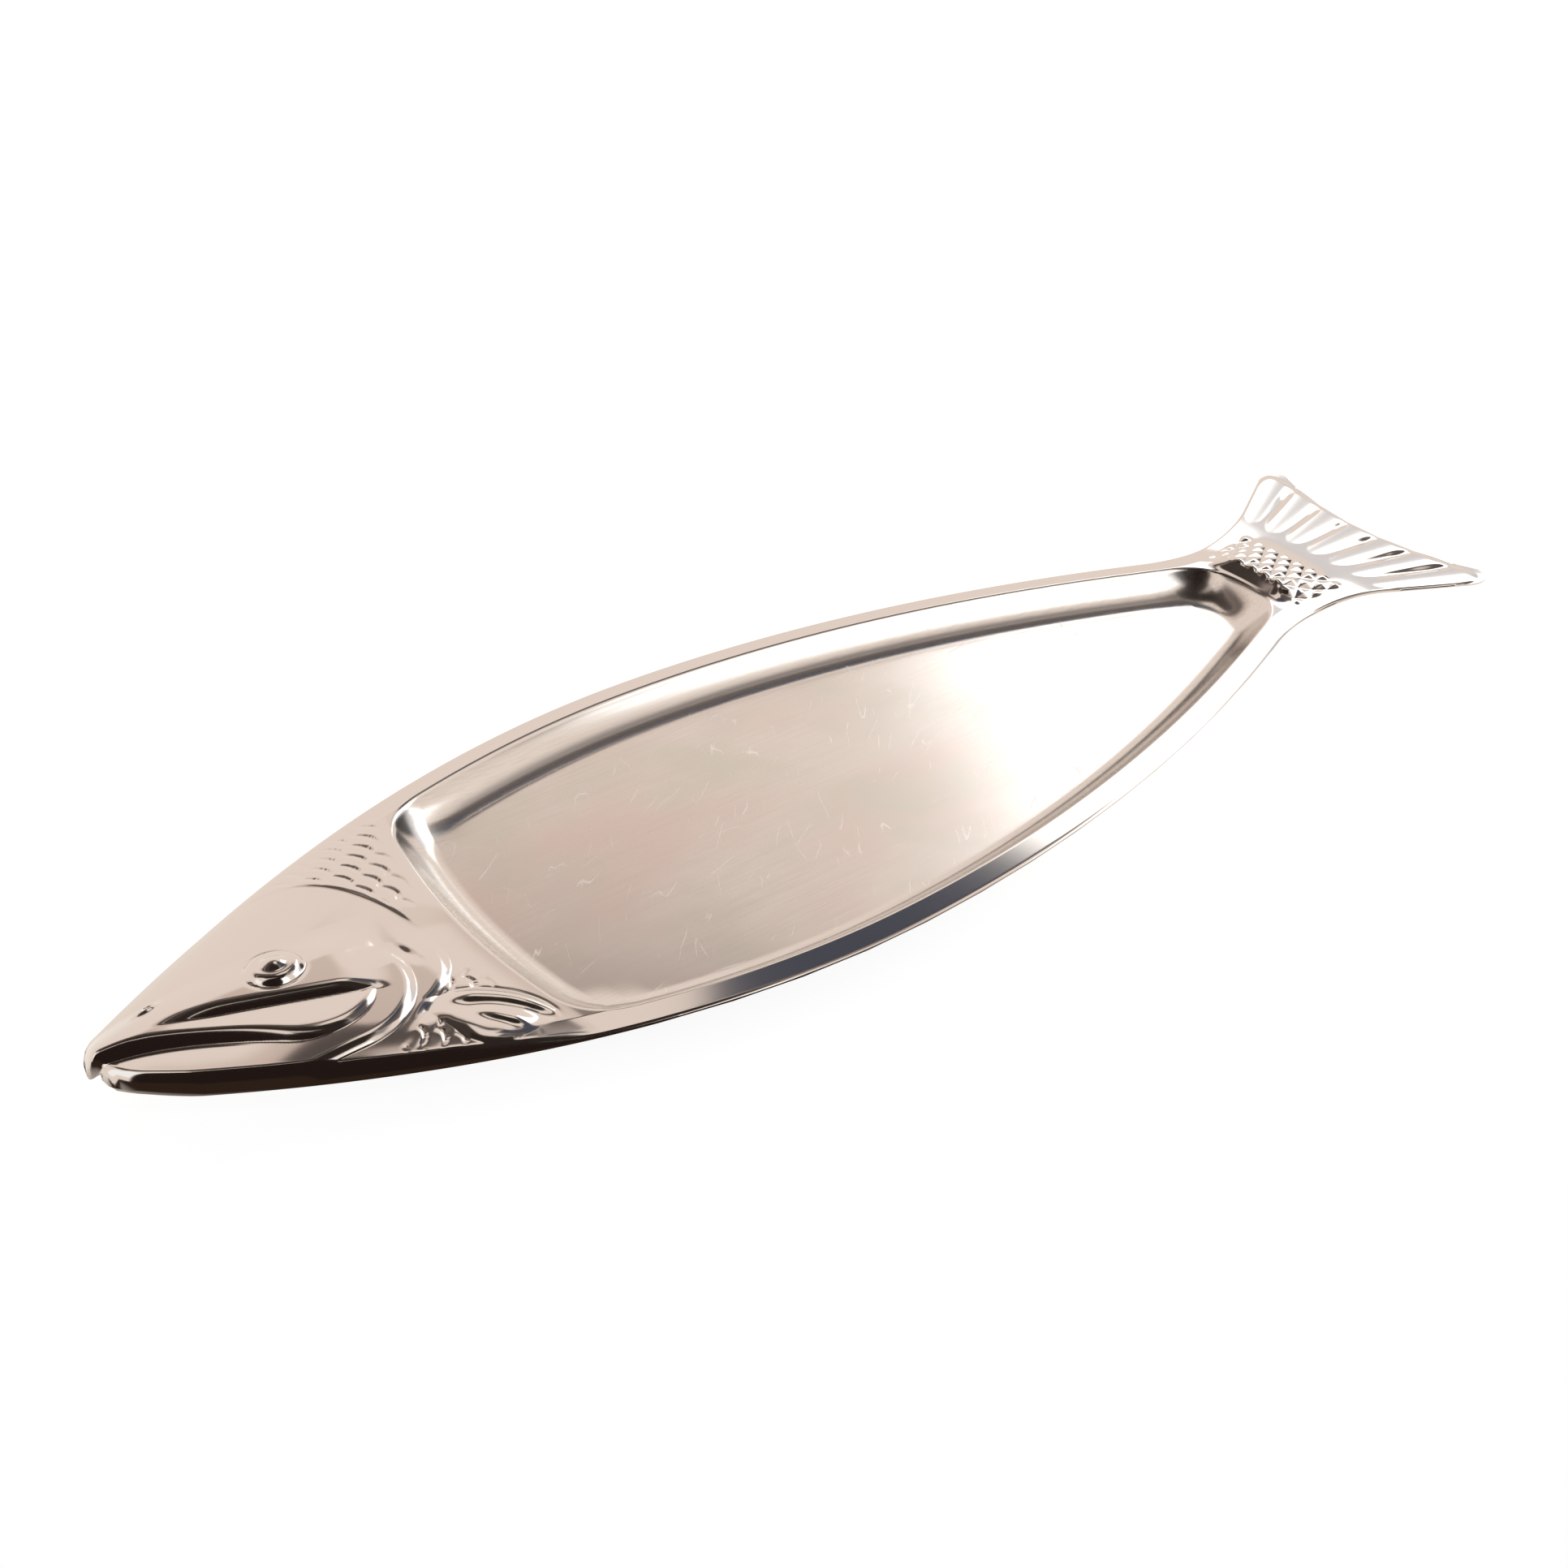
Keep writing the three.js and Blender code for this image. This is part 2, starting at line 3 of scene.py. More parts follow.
import bmesh
import bpy
import numpy as np
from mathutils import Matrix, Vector


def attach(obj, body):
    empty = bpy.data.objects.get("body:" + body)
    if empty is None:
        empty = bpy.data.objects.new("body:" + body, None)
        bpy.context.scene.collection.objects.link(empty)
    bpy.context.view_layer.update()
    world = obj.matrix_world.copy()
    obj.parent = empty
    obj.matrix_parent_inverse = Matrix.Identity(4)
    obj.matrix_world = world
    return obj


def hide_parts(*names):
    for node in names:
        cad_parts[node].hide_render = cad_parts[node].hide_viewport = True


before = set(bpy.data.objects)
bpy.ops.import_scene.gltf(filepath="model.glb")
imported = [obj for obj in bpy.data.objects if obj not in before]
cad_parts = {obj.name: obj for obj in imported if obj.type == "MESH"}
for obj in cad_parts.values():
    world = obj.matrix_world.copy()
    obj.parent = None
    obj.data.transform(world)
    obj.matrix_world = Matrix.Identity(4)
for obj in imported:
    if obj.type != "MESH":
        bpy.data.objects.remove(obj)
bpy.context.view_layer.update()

# Blank of the platter.
# One sheet of stainless steel, trimmed to a fish before it is pressed: a long lens from the snout to
# the waist, then a flared tail. Plan sizes are in millimetres, x from the snout, y towards the back.
LENGTH = 650
BODY_WIDTH = 205
WIDEST_AT = 268
SNOUT_WIDTH = 24
SNOUT_RADIUS = 9
HEAD_FULLNESS = 1.95
BODY_FULLNESS = 1.9
WAIST_WIDTH = 73
WAIST_AT = LENGTH - 79
WAIST_BLEND = 40
TAIL_WIDTH = 146
TAIL_TIP_RADIUS = 13
TAIL_HOLLOW = 12
REAR_MIDDLE = LENGTH - TAIL_HOLLOW
CROWN_FULLER = 1.5
CROWN_TAPER = 60
JAW_NARROWER = 3.4
JAW_NARROWER_TAPER = 26
SIDE_BLEND = 16
JAW_SET_BACK = 3
JAW_TAPER = 30
NOTCH_Y = -1
NOTCH_DEPTH = 0.8
NOTCH_WIDTH = 1.4
NOSE_BLEND = 2.5
JAW_BLEND = 1


def ramp(value, low, high):
    """A soft step from 0 at low to 1 at high."""
    share = np.clip((value - low) / (high - low), 0, 1)
    return share * share * (3 - 2 * share)


def bell(value, width):
    """1 at 0, sinking to nothing on both sides over about twice the width."""
    return np.exp(-((value / width) ** 2))


def rounded_min(a, b, radius):
    """The smaller of two lengths, with the corner between them rounded."""
    blend = 4 * (1 - math.sqrt(0.5)) * radius
    share = np.maximum(blend - np.abs(a - b), 0) / blend
    return np.minimum(a, b) - share * share * blend / 4


def flank(x):
    """Half width of the fish at x, with sharp corners at the snout and the tail tips."""
    half = BODY_WIDTH / 2
    core = WAIST_WIDTH / 2 - WAIST_BLEND / 4
    front = np.clip(1 - x / WIDEST_AT, 0, 1) ** HEAD_FULLNESS
    back = np.maximum((x - WIDEST_AT) / (WAIST_AT - WIDEST_AT), 0) ** BODY_FULLNESS
    body = half - (half - SNOUT_WIDTH / 2) * front - (half - core) * back
    tail = core + (TAIL_WIDTH / 2 - core) * (x - WAIST_AT) / (LENGTH - WAIST_AT)
    share = np.maximum(WAIST_BLEND - np.abs(body - tail), 0) / WAIST_BLEND
    return np.maximum(body, tail) + share * share * WAIST_BLEND / 4


def corner_cut(radius, distance):
    """How far a corner of this radius takes the side in, at a distance from its end."""
    return radius - np.sqrt(radius**2 - np.clip(radius - distance, 0, radius) ** 2)


def side_shift(x, towards_back):
    """Makes the crown a little fuller and the jaw narrower than the even outline."""
    crown = CROWN_FULLER * np.clip(1 - x / CROWN_TAPER, 0, 1)
    jaw = -JAW_NARROWER * np.clip(1 - x / JAW_NARROWER_TAPER, 0, 1)
    return np.clip(2 * x / SNOUT_RADIUS, 0, 1) * (jaw + (crown - jaw) * towards_back)


def half_width(x, towards_back):
    """Half width of the trimmed blank at x, on the back's side or the belly's."""
    corners = corner_cut(SNOUT_RADIUS, x) + corner_cut(TAIL_TIP_RADIUS, LENGTH - x)
    return flank(x) - corners + side_shift(x, towards_back)


def jaw_set_back(x, y):
    """How far the lower jaw and the notch at the mouth lie behind the nose."""
    jaw = JAW_SET_BACK * ramp(NOTCH_Y - y, -NOSE_BLEND, JAW_BLEND)
    notch = NOTCH_DEPTH * bell(y - NOTCH_Y, NOTCH_WIDTH)
    return (jaw + notch) * np.clip(1 - x / JAW_TAPER, 0, 1) ** 2


def edge_distance(x, y):
    """Distance in from the nearest outer edge."""
    x = x - jaw_set_back(x, y)
    slope = (flank(x + 1) - flank(x - 1)) / 2
    towards_back = np.clip(0.5 + y / SIDE_BLEND, 0, 1)
    side = (flank(x) + side_shift(x, towards_back) - np.abs(y)) / np.hypot(1, slope)
    rear = REAR_MIDDLE + TAIL_HOLLOW * (2 * y / TAIL_WIDTH) ** 2 - x
    return rounded_min(rounded_min(side, x, SNOUT_RADIUS), rear, TAIL_TIP_RADIUS)


# Rim and tray.
# The middle of the blank is drawn down into a flat tray with a wide curved wall. A narrow polished rim
# is left round it, and the outer edge of the sheet is turned down so that it isn't sharp.
RIM_WIDTH = 10
RIM_HEIGHT = 11.5
RIM_FALL = 1.2
HEAD_FALL_WIDTH = 20
TAIL_FALL_RUN = 40
RIM_EDGE_RADIUS = 1.2
LIP_RUN = 1.4
LIP_DROP = 0.4
WALL_RUN = 17
TRAY_START = 140.5
TRAY_START_RADIUS = 300
TRAY_END = LENGTH - 93
TRAY_END_RADIUS = 70
TRAY_CORNER_RADIUS = 14


def tray_start_line(y):
    return TRAY_START + y**2 / (2 * TRAY_START_RADIUS)


def tray_end_line(y):
    return TRAY_END - y**2 / (2 * TRAY_END_RADIUS)


def tray_distance(x, y):
    """Distance in from the tray's upper edge, negative outside the tray."""
    side = edge_distance(x, y) - RIM_WIDTH
    head_end = x - tray_start_line(y)
    tail_end = tray_end_line(y) - x
    return rounded_min(rounded_min(side, head_end, TRAY_CORNER_RADIUS), tail_end, TRAY_CORNER_RADIUS)


def rim_and_tray(x, y):
    edge = edge_distance(x, y)
    fall = RIM_FALL * np.clip(1 - edge / RIM_WIDTH, 0, 1)
    head_fall = RIM_FALL * np.clip(1 - edge / HEAD_FALL_WIDTH, 0, 1) ** 2
    fall = fall + (head_fall - fall) * ramp(tray_start_line(y) - x, 0, HEAD_FALL_WIDTH)
    fall = fall * (1 - ramp(x, TRAY_END, TRAY_END + TAIL_FALL_RUN))
    lip = LIP_DROP * np.clip(1 - edge / LIP_RUN, 0, 1) ** 2
    wall = RIM_HEIGHT * (1 - np.clip(tray_distance(x, y) / WALL_RUN, -1, 1)) ** 2
    return rounded_min(wall, np.full_like(x, RIM_HEIGHT), RIM_EDGE_RADIUS) - fall - lip


# Head of the fish.
# The head is embossed upwards from the same sheet: a dome, steep on the belly side, with terraces struck
# into it for the jaw, the lip and the cheek, and the eye, the nostril and the gill cover above them.
CROWN_RISE = 8.4
CROWN_RUN = 40
CROWN_FALL = 110
BELLY_RISE = 1.6
BELLY_RUN = 4.2
BELLY_FALL = 26
RIDGE_LOW = -1
RIDGE_HIGH = 19
EMBOSS_MARGIN = 5
MOUTH_X = 3
MOUTH_Y = -1.5
MOUTH_SLOPE = -0.16
MOUTH_BEND = -0.0062
MOUTH_DEPTH = 2.2
MOUTH_FADE_FROM = 40
MOUTH_FADE_TO = 84
JAW_WIDTH = 17
FOOT_SHARE = 0.12
FOOT_CUT = 0.04
FOOT_ROUNDING = 0.1
LIP_TOP = 1.8
LIP_FACE = 5
LIP_CORNER_RADIUS = 5
LIP_LEVEL_SHARE = 0.15
LIP_END_X = 76
LIP_END_Y = -14
LIP_END_RADIUS = 21.6
LIP_END_FACE = 4.2
LIP_END_FROM = 68
LIP_END_TO = 92
TINY = 0.01
CHEEK_X = 27
CHEEK_Y = 0.5
CHEEK_ANGLE = -19
CHEEK_LENGTH = 68
CHEEK_LEAD = 6
CHEEK_GROWTH = 22
CHEEK_END_LEAD = 8
CHEEK_END_RUN = 12
CHEEK_FOOT = 0.6
CHEEK_TOP = 3.2
CHEEK_FACE = 5
BEHIND_LEAF = 0.4
EYE_X = 70.5
EYE_Y = 4
EYE_RADIUS = 10.75
EYE_RISE = 2.2
EYE_FLANK = 4
EYE_CREASE_DEPTH = 0.35
EYE_CREASE_WIDTH = 1.3
PUPIL_RADIUS = 5.6
PUPIL_RISE = 1.6
PUPIL_POWER = 1.5
NOSTRIL_X = 26
NOSTRIL_Y = 13.5
NOSTRIL_LENGTH = 11
NOSTRIL_WIDTH = 5.4
NOSTRIL_TURN = 8
NOSTRIL_RISE = 1.2
NOSTRIL_TOP_SHARE = 0.3
NOSTRIL_SKIRT_SHARE = 1.2
NOSTRIL_HOLLOW_ALONG = 1.5
NOSTRIL_HOLLOW_LEFT = 0.3
NOSTRIL_HOLLOW_LENGTH = 2.6
NOSTRIL_HOLLOW_WIDTH = 1.1
NOSTRIL_HOLLOW_FLAT = 0.2
NOSTRIL_HOLLOW_SHARE = 1.2
GILL_CREASE_X = 79.5
GILL_CREASE_Y = -15
GILL_CREASE_RADIUS = 31.8
GILL_CREASE_FACE = 4.2
GILL_CREASE_RISE = 1.9
GILL_CREASE_LEAD = 8
DIMPLE_X = 115
DIMPLE_Y = -10
DIMPLE_ANGLE = -80
DIMPLE_DEPTH = 0.8
DIMPLE_HALF_LENGTH = 5.5
DIMPLE_HALF_WIDTH = 2.2
COVER_X = 85
COVER_Y = -8
COVER_HALF_LENGTH = 42
COVER_BACK_HEIGHT = 62
COVER_BELLY_HEIGHT = 58
COVER_CUT_X = 110.7
COVER_CUT_Y = -37.7
COVER_CUT_ANGLE = 36
COVER_CUT_FADE = 12
COVER_CORNER_RADIUS = 6
COVER_LEAD = 15
COVER_RISE = 1.2
COVER_FACE = 3.6
COVER_BACK_RISE = -0.4
COVER_BACK_FACE = 2
COVER_BACK_FADE = 20
COVER_BACK_LEAD = 10
GILL_FALL = 2.1
GILL_FALL_START = 45
STEP_LOW = -15
STEP_HIGH = 0


def shoulder(share):
    """Climbs steeply from 0 at share 0 and levels out to 1 at share 1."""
    return 1 - (1 - np.clip(share, 0, 1)) ** 2


def rounded_max(a, b, radius):
    return -rounded_min(-a, -b, radius)


def along_line(x, y, start_x, start_y, angle):
    """Lengths along a line from its start, and to the left of it."""
    turn = math.radians(angle)
    along = (x - start_x) * math.cos(turn) + (y - start_y) * math.sin(turn)
    left = (y - start_y) * math.cos(turn) - (x - start_x) * math.sin(turn)
    return along, left


def face(distance, run):
    """Rise of a struck step: a small soft foot at 0, then a rounded shoulder that ends at run."""
    foot = FOOT_SHARE * run
    share = np.clip((distance + foot) / (run + foot), 0, 1)
    climb = rounded_max(shoulder(share) - FOOT_CUT, np.zeros_like(share), FOOT_ROUNDING)
    return climb / (1 - FOOT_CUT)


def jaw_lip_and_cheek(x, y):
    from_tip = x - MOUTH_X
    mouth_y = MOUTH_Y + MOUTH_SLOPE * from_tip + MOUTH_BEND * from_tip**2
    above_mouth = (y - mouth_y) / np.hypot(1, MOUTH_SLOPE + 2 * MOUTH_BEND * from_tip)
    in_end = LIP_END_RADIUS - np.hypot(np.maximum(x - LIP_END_X, 0), np.minimum(y - LIP_END_Y, 0))
    inside = rounded_min(above_mouth, in_end, LIP_CORNER_RADIUS)
    along, above_cheek = along_line(x, y, CHEEK_X, CHEEK_Y, CHEEK_ANGLE)
    stepped = ramp(along, -CHEEK_LEAD, CHEEK_GROWTH)
    foot = LIP_TOP + (CHEEK_FOOT - LIP_TOP) * stepped
    crest = LIP_TOP + (CHEEK_TOP - LIP_TOP) * stepped
    over_leaf = np.maximum(inside, TINY)
    over_leaf = over_leaf / (over_leaf + np.maximum(-above_cheek, 0))
    leaf = LIP_TOP + (foot - LIP_TOP) * ramp(over_leaf, LIP_LEVEL_SHARE, 1)
    run = LIP_FACE + (LIP_END_FACE - LIP_FACE) * ramp(x, LIP_END_FROM, LIP_END_TO)
    depth = MOUTH_DEPTH * (1 - ramp(x, MOUTH_FADE_FROM, MOUTH_FADE_TO))
    jaw = BEHIND_LEAF * ramp(x, CHEEK_X, LIP_END_X) - depth * np.clip(1 + inside / JAW_WIDTH, 0, 1)
    lower = np.where(inside > -FOOT_SHARE * run, jaw + (leaf - jaw) * face(inside, run), jaw)
    upper = foot + (crest - foot) * face(above_cheek, CHEEK_FACE)
    ending = ramp(along, CHEEK_LENGTH - CHEEK_END_LEAD, CHEEK_LENGTH + CHEEK_END_RUN)
    upper = upper + (BEHIND_LEAF - upper) * ending
    return np.where(above_cheek > -FOOT_SHARE * CHEEK_FACE, upper, lower)


def cover_distance(x, y):
    """Distance in from the gill cover's edge, negative outside it."""
    height = np.where(y > COVER_Y, COVER_BACK_HEIGHT, COVER_BELLY_HEIGHT)
    reach = np.hypot(np.maximum(x - COVER_X, 0) / COVER_HALF_LENGTH, (y - COVER_Y) / height)
    above_cut = along_line(x, y, COVER_CUT_X, COVER_CUT_Y, COVER_CUT_ANGLE)[1]
    return rounded_min(COVER_HALF_LENGTH * (1 - reach), above_cut, COVER_CORNER_RADIUS)


def gill_levels(x, y):
    """Level of the gill's plates, which step down from the cheek towards the tray."""
    stepped = 1 - ramp(y, STEP_LOW, STEP_HIGH)
    above_fin = ramp(y, COVER_CUT_Y - COVER_CUT_FADE, COVER_CUT_Y)
    reach = GILL_CREASE_RADIUS - np.hypot(np.maximum(x - GILL_CREASE_X, 0), y - GILL_CREASE_Y)
    plate_slope = 1 - ramp(x, GILL_CREASE_X + GILL_CREASE_LEAD, GILL_CREASE_X + GILL_CREASE_RADIUS)
    plate = plate_slope + (face(reach, GILL_CREASE_FACE) - plate_slope) * stepped
    cover_slope = 1 - ramp(x, COVER_X + COVER_LEAD, COVER_X + COVER_HALF_LENGTH)
    cover_step = face(cover_distance(x, y), COVER_FACE)
    cover = cover_slope + (cover_step - cover_slope) * stepped * above_fin
    level = GILL_FALL * (1 - ramp(x, GILL_FALL_START, TRAY_START))
    return level + GILL_CREASE_RISE * plate + COVER_RISE * cover


def head_dome(x, y):
    edge = edge_distance(x, y)
    ahead = tray_start_line(y) - x
    crown = CROWN_RISE * shoulder(edge / CROWN_RUN) * shoulder(ahead / CROWN_FALL)
    belly = (BELLY_RISE + gill_levels(x, y)) * shoulder(edge / BELLY_RUN)
    belly = belly + jaw_lip_and_cheek(x, y) * shoulder(edge / EMBOSS_MARGIN)
    belly = belly * ramp(ahead, 0, BELLY_FALL)
    return belly + (crown - belly) * ramp(y, RIDGE_LOW, RIDGE_HIGH)


def eye(x, y):
    reach = np.hypot(x - EYE_X, y - EYE_Y)
    disc = EYE_RISE * face(EYE_RADIUS - reach, EYE_FLANK)
    pupil = PUPIL_RISE * np.maximum(1 - (reach / PUPIL_RADIUS) ** 2, 0) ** PUPIL_POWER
    crease = EYE_CREASE_DEPTH * bell(reach - EYE_RADIUS, EYE_CREASE_WIDTH)
    return disc + pupil - crease


def nostril(x, y):
    along, left = along_line(x, y, NOSTRIL_X, NOSTRIL_Y, NOSTRIL_TURN)
    reach = np.hypot(2 * along / NOSTRIL_LENGTH, 2 * left / NOSTRIL_WIDTH)
    boss = 1 - ramp(reach, NOSTRIL_TOP_SHARE, NOSTRIL_SKIRT_SHARE)
    hollow_along = (along - NOSTRIL_HOLLOW_ALONG) / NOSTRIL_HOLLOW_LENGTH
    hollow_left = (left - NOSTRIL_HOLLOW_LEFT) / NOSTRIL_HOLLOW_WIDTH
    hollow = 1 - ramp(np.hypot(hollow_along, hollow_left), NOSTRIL_HOLLOW_FLAT, 1)
    return NOSTRIL_RISE * (boss - NOSTRIL_HOLLOW_SHARE * hollow)


def gill_marks(x, y):
    """The small dimple beside the gill and the cover's edge on the back."""
    along, left = along_line(x, y, DIMPLE_X, DIMPLE_Y, DIMPLE_ANGLE)
    dimple = DIMPLE_DEPTH * bell(np.hypot(along / DIMPLE_HALF_LENGTH, left / DIMPLE_HALF_WIDTH), 1)
    back_line = COVER_BACK_RISE * face(cover_distance(x, y), COVER_BACK_FACE)
    back_line = back_line * ramp(y, STEP_HIGH, STEP_HIGH + COVER_BACK_FADE)
    return back_line * ramp(x, COVER_X - COVER_BACK_LEAD, COVER_X + COVER_BACK_LEAD) - dimple


# Breast fin and scales.
# The fin is a raised plate with two folded rays that face the belly. Overlapping round scales lie in rows
# behind the gill cover, and fade out before they reach the tray and the outer edge.
FIN_CIRCLE_X = 112
FIN_CIRCLE_Y = -68
FIN_CIRCLE_RADIUS = 31
FIN_ROOT_X = 105.6
FIN_ROOT_Y = -40.8
FIN_LOWER_ANGLE = -76
FIN_TRAILING_X = 140
FIN_TRAILING_Y = -69
FIN_TRAILING_ANGLE = -176
FIN_TRAILING_EASE = 0.7
FIN_EDGE_MARGIN = 3
FIN_CORNER_RADIUS = 3
FIN_ROOT_RADIUS = 6
FIN_RISE = 2.2
FIN_BACK_RISE = 0.5
FIN_RISE_RUN = 22
FIN_FACE = 6
FIN_OUTLINE_DEPTH = 0.2
FIN_OUTLINE_WIDTH = 1.1
FIN_OUTLINE_OFFSET = 0.5
FIN_OUTLINE_FADE = 6
FIN_OUTLINE_LOW = 2
LONG_RAY = {"x": 114.5, "y": -42, "angle": -40.6, "length": 38, "bow": 2.3, "width": 4.4}
SHORT_RAY = {"x": 118.5, "y": -52.5, "angle": -52, "length": 18, "bow": 0, "width": 2.8}
FIN_RAY_SLOPE = 0.52
FIN_RAY_TAPER = 8
SCALE_ROW = 7.4
SCALE_SPACING = 10.5
SCALE_RADIUS = 6.8
SCALE_ROW_BEND = 0.004
SCALE_EDGE = 1.05
SCALE_EDGE_RUN = 2.2
SCALE_TIP_POWER = 1.5
SCALE_TILT = 0.15
SCALE_SOFTNESS = 0.55
SCALE_MARGIN = 6
SCALE_COVER_GAP = 3
SCALE_START_RUN = 8
SCALE_FIN_GAP = 2
SCALE_OUTER_GAP = 3
SCALE_TRAY_GAP = 4
PLAIN_LOW = -27
PLAIN_LOW_FADE = 5
PLAIN_HIGH = 14
PLAIN_HIGH_FADE = 8
BELLY_SCALES_END = 134
BELLY_SCALES_FADE = 6


def fin_distances(x, y):
    """Distances in from the fin's upper arc and from its whole outline."""
    in_circle = FIN_CIRCLE_RADIUS - np.hypot(x - FIN_CIRCLE_X, y - FIN_CIRCLE_Y)
    above_lower = along_line(x, y, FIN_ROOT_X, FIN_ROOT_Y, FIN_LOWER_ANGLE)[1]
    above_trailing = -along_line(x, y, FIN_TRAILING_X, FIN_TRAILING_Y, FIN_TRAILING_ANGLE)[1]
    from_edge = edge_distance(x, y) - FIN_EDGE_MARGIN
    from_belly = rounded_min(FIN_TRAILING_EASE * above_trailing, from_edge, FIN_CORNER_RADIUS)
    inside = rounded_min(in_circle, from_belly, FIN_CORNER_RADIUS)
    return in_circle, rounded_min(inside, above_lower, FIN_ROOT_RADIUS)


def fin_ray(x, y, ray):
    """A fold that faces the belly: raised behind the ray, sunk in front of it, tapered at both ends."""
    along, left = along_line(x, y, ray["x"], ray["y"], ray["angle"])
    middle = ray["length"] / 2
    beyond = left - ray["bow"] * (1 - ((along - middle) / middle) ** 2)
    taper = ramp(along, -FIN_RAY_TAPER / 2, FIN_RAY_TAPER)
    end = ray["length"]
    taper = taper * (1 - ramp(along, end - FIN_RAY_TAPER / 2, end + FIN_RAY_TAPER / 2))
    return FIN_RAY_SLOPE * beyond / (1 + (beyond / ray["width"]) ** 2) * taper


def breast_fin(x, y):
    in_circle, inside = fin_distances(x, y)
    rise = FIN_RISE + (FIN_BACK_RISE - FIN_RISE) * (1 - ramp(in_circle, 0, FIN_RISE_RUN))
    raised = face(inside, FIN_FACE)
    on_fin = ramp(x, FIN_ROOT_X, FIN_ROOT_X + FIN_OUTLINE_FADE)
    on_fin = on_fin * ramp(y, FIN_TRAILING_Y - FIN_OUTLINE_LOW, FIN_TRAILING_Y + FIN_OUTLINE_FADE)
    groove = FIN_OUTLINE_DEPTH * bell(in_circle + FIN_OUTLINE_OFFSET, FIN_OUTLINE_WIDTH) * on_fin
    fin = rise * raised - groove
    return fin + (fin_ray(x, y, LONG_RAY) + fin_ray(x, y, SHORT_RAY)) * raised


def overlapping_scales(out, across):
    """Height of rows of round scales that lie on each other like tiles and point along out."""
    height = np.zeros_like(out)
    covered = np.zeros(out.shape, bool)
    first = np.floor(out / SCALE_ROW)
    for step in (-1, 0, 1):
        row = first + step
        offset = np.where(row % 2 == 0, 0, SCALE_SPACING / 2)
        column = np.round((across - offset) / SCALE_SPACING)
        for shift in (0, -1, 1):
            forward = out - row * SCALE_ROW
            sideways = across - offset - (column + shift) * SCALE_SPACING
            reach = np.hypot(forward, sideways) / SCALE_RADIUS
            here = (reach < 1) & ~covered
            tip = np.clip(forward / (reach * SCALE_RADIUS + TINY), 0, 1) ** SCALE_TIP_POWER
            rim = SCALE_EDGE * tip * (shoulder((1 - reach) * SCALE_RADIUS / SCALE_EDGE_RUN) - 1)
            tile = rim + SCALE_TILT * (forward / SCALE_RADIUS - 1) / 2
            height = np.where(here, tile, height)
            covered |= here
    return height


def shoulder_scales(x, y):
    tiles = np.zeros_like(x)
    shifts = (-SCALE_SOFTNESS, 0, SCALE_SOFTNESS)
    for along in shifts:
        for across in shifts:
            tile = overlapping_scales(x + along + SCALE_ROW_BEND * y**2, y + across)
            tiles = tiles + tile / len(shifts) ** 2
    off_cover = ramp(-cover_distance(x, y), 0, SCALE_COVER_GAP) * ramp(x, COVER_X, COVER_X + SCALE_START_RUN)
    off_fin = ramp(-fin_distances(x, y)[1], 0, SCALE_FIN_GAP)
    from_edge = ramp(edge_distance(x, y), SCALE_OUTER_GAP, SCALE_OUTER_GAP + SCALE_MARGIN)
    from_tray = ramp(-tray_distance(x, y), SCALE_TRAY_GAP, SCALE_TRAY_GAP + SCALE_MARGIN)
    on_back = ramp(y, PLAIN_HIGH, PLAIN_HIGH + PLAIN_HIGH_FADE)
    on_belly = 1 - ramp(y, PLAIN_LOW - PLAIN_LOW_FADE, PLAIN_LOW)
    on_belly = on_belly * (1 - ramp(x, BELLY_SCALES_END - BELLY_SCALES_FADE, BELLY_SCALES_END))
    return tiles * off_cover * off_fin * from_edge * from_tray * np.maximum(on_back, on_belly)


# Tail of the fish.
# A hump with small pointed scales crosses the root of the tail and drops steeply into the tray. Behind
# it broad lobes rise towards the hollow rear edge, where the valleys between them run out.
TAIL_LIFT = 1.6
HUMP_RIDGE = LENGTH - 84
HUMP_BOW_RADIUS = 200
HUMP_RISE = 4
HUMP_BACK = 34
HUMP_MARGIN = 9
HUMP_SHOULDER = 14
TAIL_SCALE_LENGTH = 12
TAIL_SCALE_WIDTH = 8
TAIL_SCALE_RISE = 0.9
TAIL_SCALE_END = LENGTH - 59
TAIL_SCALE_FADE = 3
TAIL_SCALE_ROUNDING = 0.2
TAIL_SCALE_MARGIN = 7
TAIL_SCALE_MARGIN_RUN = 4
FAN_LOBES = 7
FAN_LOBE_RISE = 1.35
FAN_LOBE_FLAT = 0.55
FAN_START = LENGTH - 49
FAN_START_ROUNDING = 0.02
FAN_VALLEY_DELAY = 8
FAN_LOBE_RUN = 34
FAN_BORDER = 10


def peak(value):
    """Runs from 0 up to 1 and down to 0 again over each whole step of value."""
    return 1 - np.abs(2 * (value - np.floor(value)) - 1)


def pointed_scales(along, across):
    first = along / TAIL_SCALE_LENGTH + across / TAIL_SCALE_WIDTH
    second = along / TAIL_SCALE_LENGTH - across / TAIL_SCALE_WIDTH
    return rounded_min(peak(first), peak(second), TAIL_SCALE_ROUNDING)


